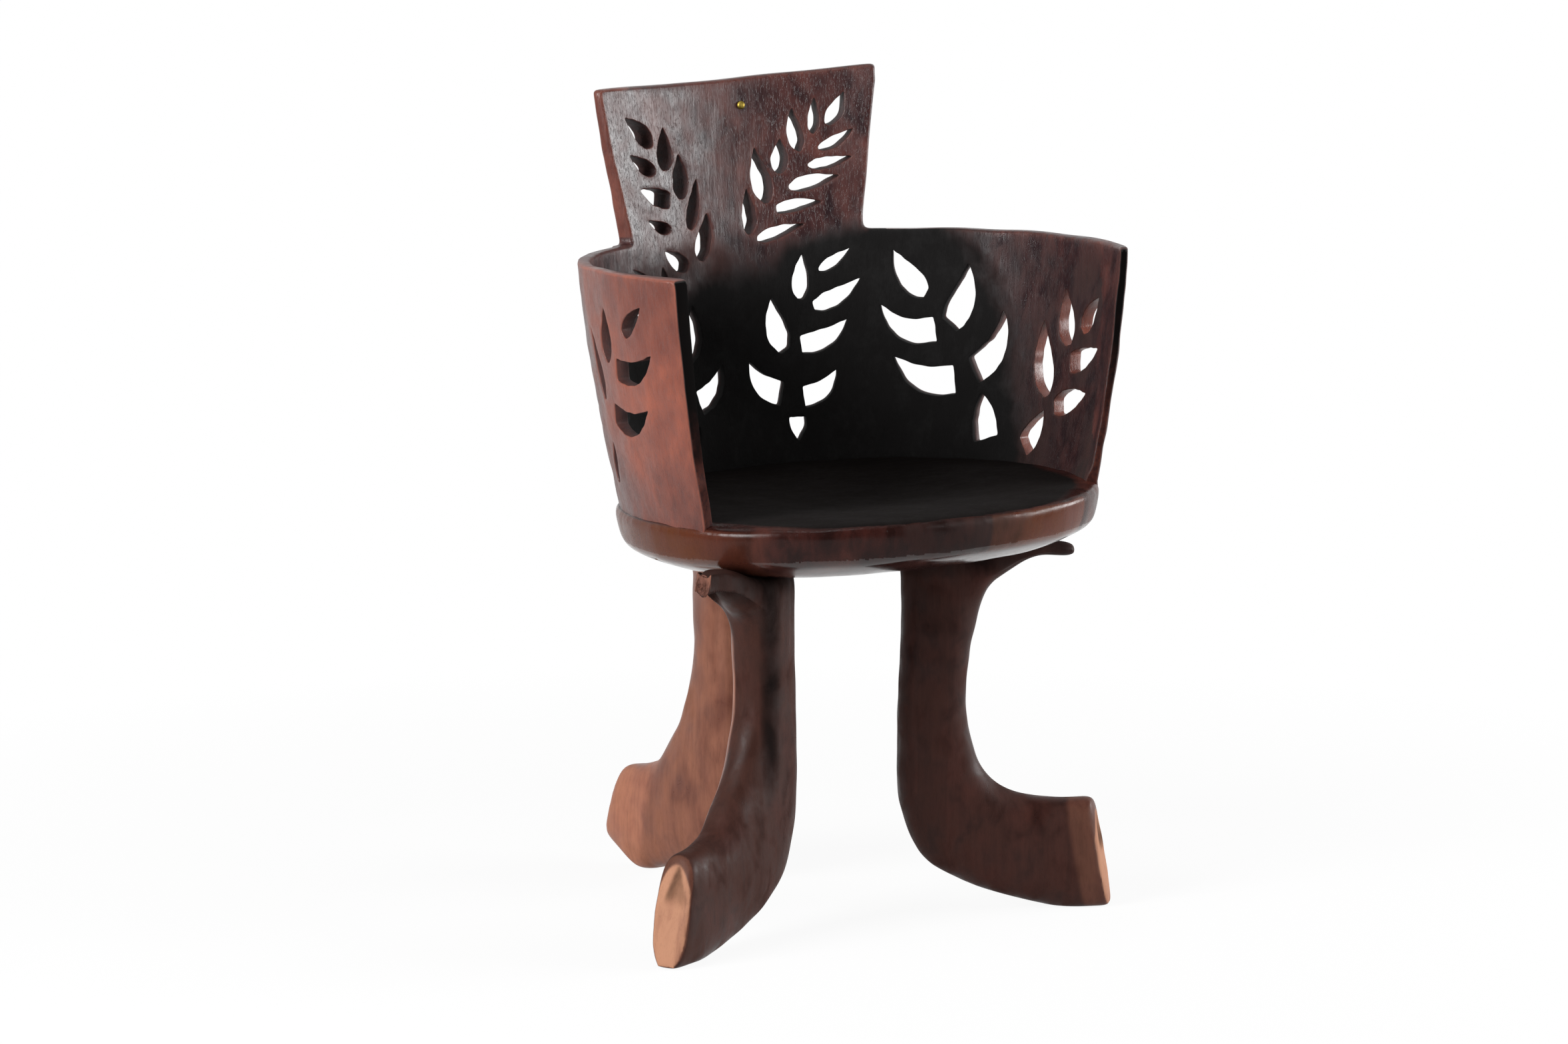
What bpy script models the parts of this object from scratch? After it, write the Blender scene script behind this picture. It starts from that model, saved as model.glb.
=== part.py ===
"""A three-legged carved chair with a flaring pierced back, in metres, +Z up.

The front of the chair looks along -Y and the origin lies on the floor under the
middle of the chair. The seat leans a little to one side, as hand-cut legs leave it.
"""
import math

import bmesh
import bpy
from mathutils import Matrix, Vector
from mathutils.geometry import delaunay_2d_cdt

# Seat
SEAT_HEIGHT = 0.440
SEAT_RADIUS = 0.252
SEAT_FRONT = 0.208
SEAT_CORNER_POWER = 2.2
SEAT_THICKNESS = 0.058
SEAT_LEAN = math.radians(2.4)
RIM_HEIGHT = 0.038
RIM_TAPER = 0.007
RIM_ROUND = 0.006
BOWL_WIDTH = 0.060
BOWL_CURVE = 1.6
LIP_WIDTH = 0.040
DISH_DEPTH = 0.010

# Back shell: the wall round the seat and the tall head panel
SEAT_LEDGE = 0.005
WALL = 0.014
ARM_HEIGHT = 0.246
ARM_SWEEP = math.radians(113.5)
RIM_FLARE = 0.036
RIM_SHIFT = 0.004
RIM_TILT = 0.0055
WALL_BELLY = 0.004
HOUSING_DEPTH = 0.010
HEAD_HEIGHT = 0.169
HEAD_WIDTH_FOOT = 0.302
HEAD_WIDTH_TOP = 0.353
HEAD_OFFSET = -0.003
HEAD_SPREAD = 1.3
HEAD_LEAN = 0.018
HEAD_TOP_DIP = 0.006
HEAD_TOP_TILT = 0.0025

# Legs, measured from the middle of the shaft outwards
LEG_THICKNESS = 0.055
SHAFT_WIDTH = 0.070
FOOT_HEIGHT = 0.117
FOOT_REACH = 0.188
FOOT_END_SLANT = 0.021
SOLE_CUT = 0.004
HORN_REACH = 0.147
HORN_DEPTH = 0.062
HORN_TIP = 0.013
HORN_DROOP = 0.008
HORN_TURN = 3.0

# Joints between the pieces
FIT_GAP = 0.0003
TENON_LENGTH = 0.028
TENON_WIDTH = 0.042
TENON_THICKNESS = 0.026
FOX_WEDGE_LENGTH = 0.020
FOX_WEDGE_HEAD = 0.006
FOX_WEDGE_TOE = 0.002
PEG_DIAMETER = 0.008
PEG_GRIP = 0.020
PEG_RECESS = 0.001
PEG_ANGLES = [math.radians(degrees) for degrees in (-90, -45, 0, 45, 90)]

# Brass tack on the head panel
TACK_HEAD = 0.0090
TACK_DOME = 0.0030
TACK_SHANK = 0.0022
TACK_LENGTH = 0.010
TACK_SEAT_GAP = 0.0005
TACK_ANGLE = math.radians(3.3)
TACK_DROP = 0.034

# Where each leg stands under the seat, in shares of the seat's radius, the compass
# directions of its foot and of its horn, in degrees from the front towards the right,
# and how full its hollow is, from 0 for a tight curve to 1 for a shallow one
LEGS = {
    "front_left": (-0.55, -0.23, -59.0, -48.0, 1.0),
    "front_right": (0.315, -0.06, 67.0, 67.0, 0.0),
    "rear": (-0.265, 0.70, 192.0, 170.0, 1.0),
}

# Pierced leaves, drawn on a sheet wrapped round the back: columns of one degree
# from the middle of the back, and rows that share out the arm's height and then the
# head panel's height. Each leaf is its tip, its foot on the stem, its width, how
# blunt its foot is (0 to 1) and how far it bows to its left, as a share of its length.
ARM_ROWS = 49
HEAD_ROWS = 34
LEAF_SIDE_POINTS = 6
LEAF_POINTED_FOOT = 0.3
LEAF_BELLY = 0.7
LEAF_TAPER = 1.6
HEAD_LEFT_BRANCH = [
    (-29.5, 76.0, -21.5, 69.5, 4.4, 0.2, 0.0),
    (-29.0, 68.0, -21.5, 64.0, 3.4, 0.3, 0.06),
    (-27.0, 60.5, -18.0, 57.5, 3.9, 0.8, 0.03),
    (-25.5, 54.0, -18.5, 51.5, 2.5, 0.3, 0.07),
    (-20.5, 47.0, -13.5, 43.0, 3.8, 0.5, 0.03),
    (-18.0, 73.0, -18.5, 64.0, 4.4, 0.4, 0.0),
    (-14.5, 67.0, -14.5, 57.5, 4.3, 0.3, 0.0),
    (-10.0, 61.5, -13.0, 51.0, 3.2, 0.5, -0.03),
    (-8.0, 54.0, -9.5, 44.0, 4.4, 0.3, 0.0),
]
HEAD_RIGHT_BRANCH = [
    (25.5, 78.0, 21.5, 71.0, 3.4, 0.3, -0.05),
    (27.5, 70.0, 19.5, 66.0, 2.6, 0.2, -0.06),
    (27.0, 64.0, 17.0, 62.5, 2.6, 0.2, -0.03),
    (24.0, 60.0, 12.5, 58.0, 3.4, 0.3, 0.0),
    (20.0, 54.5, 9.5, 53.5, 2.9, 0.6, 0.02),
    (16.0, 50.0, 5.0, 47.5, 2.9, 0.4, 0.0),
    (19.0, 77.0, 18.5, 69.0, 2.6, 0.2, 0.0),
    (14.0, 75.0, 15.5, 65.5, 3.6, 0.2, 0.05),
    (11.0, 68.5, 10.5, 61.0, 4.0, 0.3, 0.0),
    (5.0, 67.0, 7.5, 55.0, 4.8, 0.3, 0.03),
    (2.5, 58.5, 3.0, 48.5, 3.5, 0.3, 0.0),
]
BACK_BRANCH = [
    (12.5, 4.5, 12.5, 9.5, 4.3, 1.0, 0.0),
    (1.0, 22.0, 9.0, 14.5, 5.2, 1.0, 0.16),
    (8.0, 35.0, 10.5, 23.5, 5.6, 0.4, 0.07),
    (16.0, 44.0, 15.0, 34.0, 4.1, 0.3, 0.03),
    (23.0, 19.0, 14.5, 13.5, 4.6, 1.0, -0.15),
    (26.0, 29.5, 14.5, 24.5, 4.6, 0.8, -0.11),
    (29.0, 38.0, 18.0, 32.5, 4.0, 0.5, -0.07),
    (27.0, 44.5, 19.5, 40.0, 2.6, 0.3, -0.03),
]
LEFT_BACK_TURN = -5.5
SIDE_BRANCH = [
    (36.5, 44.0, 44.5, 34.5, 5.6, 0.5, 0.08),
    (33.5, 32.5, 47.0, 27.0, 5.4, 1.0, 0.20),
    (36.5, 21.5, 52.5, 16.5, 6.2, 1.0, 0.15),
    (55.0, 41.0, 50.5, 28.0, 6.8, 0.7, -0.10),
    (65.0, 31.5, 57.5, 18.5, 6.6, 0.9, -0.18),
    (60.0, 14.0, 62.5, 4.5, 7.2, 1.0, 0.0),
]
LEFT_SIDE_TURN = -4.0
RIGHT_ARM_BRANCH = [
    (78.0, 30.0, 81.5, 14.5, 7.0, 0.3, 0.06),
    (85.0, 37.0, 88.0, 25.5, 6.6, 0.3, 0.03),
    (100.5, 36.5, 93.5, 29.0, 5.0, 0.4, 0.0),
    (102.0, 26.0, 89.5, 22.0, 5.0, 0.8, -0.04),
    (99.0, 16.5, 85.0, 12.5, 5.2, 0.6, 0.0),
    (81.0, 11.5, 75.0, 3.5, 5.8, 0.8, -0.06),
]
LEFT_ARM_BRANCH = [
    (-87.5, 43.0, -86.5, 31.5, 5.0, 0.2, 0.0),
    (-102.5, 44.0, -95.5, 38.0, 3.6, 0.6, 0.0),
    (-104.5, 34.5, -90.5, 30.5, 5.0, 0.9, 0.15),
    (-101.0, 23.0, -85.5, 21.0, 5.4, 0.9, 0.16),
    (-78.0, 38.0, -81.0, 23.5, 4.0, 0.3, 0.0),
    (-80.5, 15.0, -78.0, 6.0, 3.4, 0.3, 0.0),
]

# Mesh fineness
SEAT_SEGMENTS = 64
DISH_RINGS = 5
ROUND_STEPS = 3
BOWL_STEPS = 4
SHELL_STEP = 0.024
SHELL_MARGIN = 0.006
LEG_STEPS = 3
LEG_SIDES = 16
LEG_ROUNDNESS = 2.6
PEG_SIDES = 16
TACK_SIDES = 20

# Sizes that follow from those above
SHELL_RADIUS = SEAT_RADIUS - SEAT_LEDGE
RIM_RADIUS = SHELL_RADIUS + RIM_FLARE
SHELL_HEIGHT = ARM_HEIGHT + HEAD_HEIGHT
TACK_HEIGHT = SHELL_HEIGHT - TACK_DROP
HOUSING_FLOOR = -HOUSING_DEPTH


def clear_scene():
    """Start from an empty scene."""
    for old in list(bpy.data.objects):
        bpy.data.objects.remove(old, do_unlink=True)


def make_material(name, colour, roughness, metallic=0.0):
    """A plain Principled material."""
    material = bpy.data.materials.new(name)
    material.use_nodes = True
    shader = material.node_tree.nodes["Principled BSDF"]
    shader.inputs["Base Color"].default_value = (*colour, 1.0)
    shader.inputs["Roughness"].default_value = roughness
    shader.inputs["Metallic"].default_value = metallic
    return material


def make_empty(name, parent=None, matrix=None):
    """A frame that pieces are placed in."""
    empty = bpy.data.objects.new(name, None)
    bpy.context.scene.collection.objects.link(empty)
    empty.parent = parent
    empty.matrix_basis = matrix or Matrix()
    return empty


def make_object(name, bm, parent, material=None, matrix=None, smooth_angle=40.0):
    """Turn a bmesh into a named object in its frame, smooth where it is round."""
    bmesh.ops.recalc_face_normals(bm, faces=bm.faces)
    mesh = bpy.data.meshes.new(name)
    bm.to_mesh(mesh)
    bm.free()
    mesh.shade_smooth()
    mesh.set_sharp_from_angle(angle=math.radians(smooth_angle))
    piece = bpy.data.objects.new(name, mesh)
    bpy.context.scene.collection.objects.link(piece)
    piece.parent = parent
    piece.matrix_basis = matrix or Matrix()
    if material:
        mesh.materials.append(material)
    return piece


def make_cutter(name, bm, parent, matrix=None):
    """A shape that only cuts others."""
    cutter = make_object(name, bm, parent, matrix=matrix)
    cutter.hide_render = True
    cutter.display_type = "WIRE"
    return cutter


def combine(piece, other, operation):
    """Join or cut a piece with another shape."""
    modifier = piece.modifiers.new(f"{operation.lower()} {other.name}", "BOOLEAN")
    modifier.operation = operation
    modifier.object = other


def box(low, high):
    """A block between two corners."""
    bm = bmesh.new()
    size = Vector(high) - Vector(low)
    middle = (Vector(high) + Vector(low)) / 2
    matrix = Matrix.Translation(middle) @ Matrix.Diagonal((*size, 1.0))
    bmesh.ops.create_cube(bm, size=1.0, matrix=matrix)
    return bm


def loft(rings, closed_ends=True):
    """A skin over rings of equal length, with a flat face at each end."""
    bm = bmesh.new()
    rows = [[bm.verts.new(point) for point in ring] for ring in rings]
    count = len(rows[0])
    for row, following in zip(rows, rows[1:]):
        for k in range(count):
            after = (k + 1) % count
            bm.faces.new((row[k], row[after], following[after], following[k]))
    if closed_ends:
        bm.faces.new(rows[0])
        bm.faces.new(rows[-1])
    return bm


def seat_edge(angle):
    """Radius of the seat's outline: round at the back, flatter across the front."""
    across = abs(math.sin(angle))
    along = math.cos(angle)
    if along >= 0:
        return SEAT_RADIUS
    power = SEAT_CORNER_POWER
    total = (across / SEAT_RADIUS) ** power + (-along / SEAT_FRONT) ** power
    return total ** (-1 / power)


def underside(inset):
    """Height of the seat's underside, from the top of the seat, at an inset from its edge."""
    share = (inset - RIM_TAPER) / (BOWL_WIDTH - RIM_TAPER)
    share = min(max(share, 0.0), 1.0)
    drop = (SEAT_THICKNESS - RIM_HEIGHT) * (1 - (1 - share) ** BOWL_CURVE)
    return -RIM_HEIGHT - drop


def seat_profile():
    """The seat's rings from the dish to the underside: inset, scale and height."""
    rings = []
    for k in range(1, DISH_RINGS + 1):
        scale = k / DISH_RINGS
        rings.append((LIP_WIDTH, scale, -DISH_DEPTH * (1 + math.cos(math.pi * scale)) / 2))
    for k in range(ROUND_STEPS + 1):
        turn = math.pi / 2 * k / ROUND_STEPS
        rings.append((RIM_ROUND * (1 - math.sin(turn)), 1.0, -RIM_ROUND * (1 - math.cos(turn))))
    for k in range(BOWL_STEPS + 1):
        inset = RIM_TAPER + (BOWL_WIDTH - RIM_TAPER) * k / BOWL_STEPS
        rings.append((inset, 1.0, underside(inset)))
    return rings


def make_seat(frame, material):
    """The dished seat, without its joints."""
    bm = bmesh.new()
    rows = []
    angles = [2 * math.pi * k / SEAT_SEGMENTS for k in range(SEAT_SEGMENTS)]
    for inset, scale, height in seat_profile():
        row = []
        for angle in angles:
            radius = (seat_edge(angle) - inset) * scale
            row.append(bm.verts.new((radius * math.sin(angle), radius * math.cos(angle), height)))
        rows.append(row)
    for row, following in zip(rows, rows[1:]):
        for k in range(SEAT_SEGMENTS):
            after = (k + 1) % SEAT_SEGMENTS
            bm.faces.new((row[k], row[after], following[after], following[k]))
    middle = bm.verts.new((0, 0, -DISH_DEPTH))
    for k in range(SEAT_SEGMENTS):
        bm.faces.new((middle, rows[0][k], rows[0][(k + 1) % SEAT_SEGMENTS]))
    bm.faces.new(rows[-1])
    return make_object("seat", bm, frame, material)


def shell_radius(height):
    """Outer radius of the back shell at a height over the seat."""
    if height <= 0:
        return SHELL_RADIUS
    if height <= ARM_HEIGHT:
        share = height / ARM_HEIGHT
        return SHELL_RADIUS + RIM_FLARE * share + 4 * WALL_BELLY * share * (1 - share)
    return RIM_RADIUS + HEAD_LEAN * (height - ARM_HEIGHT) / HEAD_HEIGHT


def shell_point(arc, height, depth):
    """A point of the shell: arc length at the rim, height, and depth from the outer face."""
    angle = arc / RIM_RADIUS
    radius = shell_radius(height) - depth
    shift = RIM_SHIFT * max(height, 0) / ARM_HEIGHT
    return Vector((radius * math.sin(angle) + shift, radius * math.cos(angle), height))


def spaced(start, end, step):
    """Points from start up to, but not including, end."""
    start = Vector(start)
    end = Vector(end)
    count = max(1, round((end - start).length / step))
    return [start.lerp(end, k / count) for k in range(count)]


def rim_height(arc):
    """Height of the arms' rim over the seat, which tilts from one side to the other."""
    return ARM_HEIGHT - RIM_TILT * math.sin(arc / RIM_RADIUS)


def head_side(share, side):
    """The head panel's side edge, which spreads towards the top."""
    width = HEAD_WIDTH_FOOT + (HEAD_WIDTH_TOP - HEAD_WIDTH_FOOT) * share ** HEAD_SPREAD
    arc = (side * width / 2 + HEAD_OFFSET) * RIM_RADIUS / (RIM_RADIUS + HEAD_LEAN * share)
    top = SHELL_HEIGHT + side * HEAD_TOP_TILT
    return Vector((arc, rim_height(arc) * (1 - share) + top * share))


def rim_points(start, end):
    """Points along the rim from one arc length up to, but not including, another."""
    return [Vector((point.x, rim_height(point.x))) for point in spaced((start, 0), (end, 0), SHELL_STEP)]


def shell_outline():
    """The unrolled outline of the back shell, anticlockwise."""
    end = ARM_SWEEP * RIM_RADIUS
    foot = HOUSING_FLOOR + FIT_GAP
    points = spaced((-end, foot), (end, foot), SHELL_STEP)
    points += [Vector((end, foot))]
    points += spaced((end, 0), (end, rim_height(end)), SHELL_STEP)
    points += rim_points(end, head_side(0, 1).x)
    count = round(HEAD_HEIGHT / SHELL_STEP)
    points += [head_side(k / count, 1) for k in range(count)]
    across = round(HEAD_WIDTH_TOP / SHELL_STEP)
    for k in range(across):
        point = head_side(1, 1).lerp(head_side(1, -1), k / across)
        point.y -= HEAD_TOP_DIP * math.sin(math.pi * k / across)
        points.append(point)
    points += [head_side(1 - k / count, -1) for k in range(count)]
    points += rim_points(head_side(0, -1).x, -end)
    points += spaced((-end, rim_height(-end)), (-end, 0), SHELL_STEP)
    points += [Vector((-end, 0))]
    return points


def sheet_point(column, row):
    """Place a point of the leaf sheet on the unrolled shell."""
    arc = math.radians(column) * RIM_RADIUS
    if row <= ARM_ROWS:
        return Vector((arc, ARM_HEIGHT * row / ARM_ROWS))
    return Vector((arc, ARM_HEIGHT + HEAD_HEIGHT * (row - ARM_ROWS) / HEAD_ROWS))


def leaf_outline(leaf):
    """A leaf: more or less blunt at its foot, pointed at its tip, bowed to one side."""
    tip_column, tip_row, foot_column, foot_row, width, blunt, bow = leaf
    foot = Vector((foot_column, foot_row))
    along = Vector((tip_column, tip_row)) - foot
    left = Vector((-along.y, along.x))
    sides = {1: [], -1: []}
    for k in range(LEAF_SIDE_POINTS):
        share = k / LEAF_SIDE_POINTS
        middle = foot + along * share + left * bow * math.sin(math.pi * share)
        heading = along + left * bow * math.pi * math.cos(math.pi * share)
        across = Vector((-heading.y, heading.x)).normalized()
        pointed = math.sin(math.pi * share ** LEAF_BELLY)
        stubby = math.cos(math.pi / 2 * share ** LEAF_TAPER)
        half = width / 2 * (pointed * (1 - blunt) + stubby * blunt)
        for side in sides:
            sides[side].append(middle + across * half * side)
    if width * blunt < LEAF_POINTED_FOOT:
        sides[1][0] = foot
        sides[-1].pop(0)
    loop = sides[-1] + [foot + along] + sides[1][::-1]
    return [sheet_point(point.x, point.y) for point in loop]


def mirrored(branch, turn):
    """The same branch on the other side of the back, turned by some columns."""
    return [(turn - tip_column, tip_row, turn - foot_column, foot_row, width, blunt, -bow)
            for tip_column, tip_row, foot_column, foot_row, width, blunt, bow in branch]


def all_leaves():
    """Every pierced leaf as an outline on the unrolled shell."""
    branches = [HEAD_LEFT_BRANCH, HEAD_RIGHT_BRANCH, LEFT_ARM_BRANCH, RIGHT_ARM_BRANCH]
    branches += [BACK_BRANCH, mirrored(BACK_BRANCH, LEFT_BACK_TURN)]
    branches += [SIDE_BRANCH, mirrored(SIDE_BRANCH, LEFT_SIDE_TURN)]
    return [leaf_outline(leaf) for branch in branches for leaf in branch]


def inside(point, loop):
    """Whether a point lies inside a closed loop."""
    result = False
    for start, end in zip(loop, loop[1:] + loop[:1]):
        if (start.y > point.y) != (end.y > point.y):
            crossing = start.x + (point.y - start.y) / (end.y - start.y) * (end.x - start.x)
            if point.x < crossing:
                result = not result
    return result


def clear_of(point, loops, margin):
    """Whether a point keeps a margin to every point of the loops."""
    return all((point - other).length > margin for loop in loops for other in loop)


def shell_triangles():
    """Points and triangles of the unrolled, pierced shell."""
    outline = shell_outline()
    leaves = all_leaves()
    points = []
    edges = []
    for loop in [outline] + leaves:
        first = len(points)
        points += loop
        edges += [(first + k, first + (k + 1) % len(loop)) for k in range(len(loop))]
    columns = round(2 * ARM_SWEEP * RIM_RADIUS / SHELL_STEP)
    rows = round(SHELL_HEIGHT / SHELL_STEP)
    for i in range(1, columns):
        for j in range(0, rows):
            arc = ARM_SWEEP * RIM_RADIUS * (2 * i / columns - 1)
            point = Vector((arc, SHELL_HEIGHT * j / rows))
            if inside(point, outline) and not any(inside(point, leaf) for leaf in leaves):
                if clear_of(point, [outline] + leaves, SHELL_MARGIN):
                    points.append(point)
    flat, _, faces, _, _, _ = delaunay_2d_cdt(points, edges, [], 0, 1e-6)
    kept = []
    for face in faces:
        middle = (flat[face[0]] + flat[face[1]] + flat[face[2]]) / 3
        if inside(middle, outline) and not any(inside(middle, leaf) for leaf in leaves):
            kept.append(face)
    return flat, kept


def make_shell(frame, material):
    """The flaring wall with its head panel, pierced with leaves."""
    flat, faces = shell_triangles()
    bm = bmesh.new()
    outer = [bm.verts.new(shell_point(point.x, point.y, 0)) for point in flat]
    inner = [bm.verts.new(shell_point(point.x, point.y, WALL)) for point in flat]
    uses = {}
    for face in faces:
        bm.faces.new([outer[k] for k in face])
        bm.faces.new([inner[k] for k in reversed(face)])
        for start, end in zip(face, face[1:] + face[:1]):
            uses.setdefault(frozenset((start, end)), []).append((start, end))
    for directions in uses.values():
        if len(directions) == 1:
            start, end = directions[0]
            bm.faces.new((outer[end], outer[start], inner[start], inner[end]))
    loose = [vertex for vertex in bm.verts if not vertex.link_faces]
    bmesh.ops.delete(bm, geom=loose, context="VERTS")
    return make_object("back_shell", bm, frame, material)


def make_housing_cutter(frame):
    """The groove in the seat that takes the foot of the back shell."""
    sweep = ARM_SWEEP + FIT_GAP / SHELL_RADIUS
    outer = SHELL_RADIUS + FIT_GAP
    inner = SHELL_RADIUS - WALL - FIT_GAP
    count = round(2 * ARM_SWEEP * RIM_RADIUS / SHELL_STEP)
    rings = []
    for k in range(count + 1):
        angle = sweep * (2 * k / count - 1)
        ring = []
        for radius, height in ((inner, HOUSING_FLOOR), (outer, HOUSING_FLOOR),
                               (outer, HOUSING_DEPTH), (inner, HOUSING_DEPTH)):
            ring.append((radius * math.sin(angle), radius * math.cos(angle), height))
        rings.append(ring)
    return make_cutter("housing_cutter", loft(rings), frame)


def peg_matrix(angle):
    """A peg's frame: its axis follows the slope of the wall, from the housing floor up."""
    slope = (shell_radius(PEG_GRIP) - SHELL_RADIUS) / PEG_GRIP
    middle = SHELL_RADIUS - WALL / 2
    place = Matrix.Translation((middle * math.sin(angle), middle * math.cos(angle), 0))
    turn = Matrix.Rotation(-angle, 4, "Z")
    lean = Matrix.Rotation(-math.atan(slope), 4, "X")
    return place @ turn @ lean


def rod(radius, bottom, top, sides, tip_radius=None):
    """An upright rod, tapered if it has a smaller tip."""
    bm = bmesh.new()
    matrix = Matrix.Translation((0, 0, (bottom + top) / 2))
    bmesh.ops.create_cone(bm, cap_ends=True, segments=sides, radius1=radius,
                          radius2=tip_radius or radius, depth=top - bottom, matrix=matrix)
    return bm


def make_pegs(frame, seat, shell, material):
    """Pegs driven up through the seat into the foot of the wall."""
    inset = SEAT_LEDGE + WALL / 2 + SEAT_THICKNESS * RIM_FLARE / ARM_HEIGHT
    bottom = underside(inset) + PEG_RECESS
    radius = PEG_DIAMETER / 2
    for number, angle in enumerate(PEG_ANGLES, start=1):
        matrix = peg_matrix(angle)
        make_object(f"peg_{number}", rod(radius, bottom, PEG_GRIP, PEG_SIDES), frame,
                    material, matrix)
        hole = rod(radius + FIT_GAP, -2 * SEAT_THICKNESS, PEG_GRIP + FIT_GAP, PEG_SIDES)
        cutter = make_cutter(f"peg_cutter_{number}", hole, frame, matrix)
        combine(seat, cutter, "DIFFERENCE")
        combine(shell, cutter, "DIFFERENCE")


def leg_stations(under, fill):
    """Sections along a leg from its foot to its horn.

    Each section has a point on the leg's inner edge, one on its outer, hollow edge
    and a thickness. under gives the height of the seat's underside along the leg, and
    fill moves the hollow edge from a tight curve (0) to a shallow one (1).
    """
    half = SHAFT_WIDTH / 2
    reach = FOOT_REACH
    horn = HORN_REACH
    foot = FOOT_HEIGHT
    clear = under(0) - foot
    thick = LEG_THICKNESS

    def edge(tight, full):
        return tuple(a + fill * (b - a) for a, b in zip(tight, full))

    toe = edge((reach - FOOT_END_SLANT, foot), (reach - 1.3 * FOOT_END_SLANT, 0.97 * foot))
    instep = edge((0.72 * reach, 0.99 * foot), (0.73 * reach, 0.98 * foot))
    arch = edge((0.50 * reach, 1.02 * foot), (0.54 * reach, 1.08 * foot))
    bend = edge((1.85 * half, 1.14 * foot), (2.45 * half, 1.25 * foot))
    hollow = edge((1.37 * half, foot + 0.14 * clear), (1.93 * half, foot + 0.20 * clear))
    shin = edge((1.09 * half, foot + 0.25 * clear), (1.57 * half, foot + 0.30 * clear))
    waist = edge((0.97 * half, foot + 0.38 * clear), (1.25 * half, foot + 0.40 * clear))
    middle = edge((half, foot + 0.50 * clear), (1.06 * half, foot + 0.51 * clear))
    return [
        ((reach, -SOLE_CUT), toe, 0.80 * thick),
        ((0.75 * reach, -SOLE_CUT), instep, 0.86 * thick),
        ((0.45 * reach, 0.085 * foot), arch, 0.93 * thick),
        ((0.16 * reach, 0.24 * foot), bend, thick),
        ((-0.40 * half, 0.50 * foot), hollow, thick),
        ((-half, 0.95 * foot), shin, thick),
        ((-1.08 * half, foot + 0.19 * clear), waist, thick),
        ((-1.02 * half, foot + 0.50 * clear), middle, thick),
        ((-0.95 * half, foot + 0.77 * clear), (1.20 * half, foot + 0.65 * clear), thick),
        ((-0.90 * half, under(-half) + 0.2 * HORN_DEPTH), (0.36 * horn, under(half) - 0.97 * HORN_DEPTH),
         thick),
        ((0.27 * horn, under(half) + 0.08 * HORN_DEPTH), (0.55 * horn, under(half) - 0.61 * HORN_DEPTH),
         0.92 * thick),
        ((0.60 * horn, under(horn) - 0.2 * HORN_DROOP), (0.75 * horn, under(horn) - 0.40 * HORN_DEPTH),
         0.75 * thick),
        ((0.86 * horn, under(horn) - 0.6 * HORN_DROOP), (0.89 * horn, under(horn) - 0.35 * HORN_DEPTH),
         0.52 * thick),
        ((0.995 * horn, under(horn) - HORN_DROOP), (horn, under(horn) - HORN_DROOP - HORN_TIP),
         1.6 * HORN_TIP),
    ]


def blend(before, start, end, after, share):
    """Smooth curve between start and end, for numbers and vectors alike."""
    square = share * share
    cube = square * share
    return 0.5 * (2 * start + (end - before) * share
                  + (2 * before - 5 * start + 4 * end - after) * square
                  + (3 * start - before - 3 * end + after) * cube)


def leg_ring(inner, outer, thickness, twist):
    """A rounded section between the leg's two edges, turned about the shaft."""
    middle = (inner + outer) / 2
    half = (outer - inner) / 2
    power = 2 / LEG_ROUNDNESS
    ring = []
    for k in range(LEG_SIDES):
        turn = 2 * math.pi * k / LEG_SIDES
        along = math.copysign(abs(math.cos(turn)) ** power, math.cos(turn))
        side = math.copysign(abs(math.sin(turn)) ** power, math.sin(turn))
        place = middle + half * along
        ring.append(Vector((place.x, side * thickness / 2, place.y)))
    turned = Matrix.Rotation(twist, 3, "Z")
    return [turned @ place for place in ring]


def trim(bm, point, normal):
    """Cut away what lies beyond a plane and close the cut with a flat face."""
    geometry = bm.verts[:] + bm.edges[:] + bm.faces[:]
    cut = bmesh.ops.bisect_plane(bm, geom=geometry, plane_co=point, plane_no=normal, clear_outer=True)
    edges = [item for item in cut["geom_cut"] if isinstance(item, bmesh.types.BMEdge)]
    bmesh.ops.contextual_create(bm, geom=edges)


def wedge(low, high, toe, head, width):
    """A wedge that widens upwards."""
    rings = []
    for height, thickness in ((low, toe), (high, head)):
        x, y = thickness / 2, width / 2
        rings.append([(-x, -y, height), (x, -y, height), (x, y, height), (-x, y, height)])
    return loft(rings)


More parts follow.
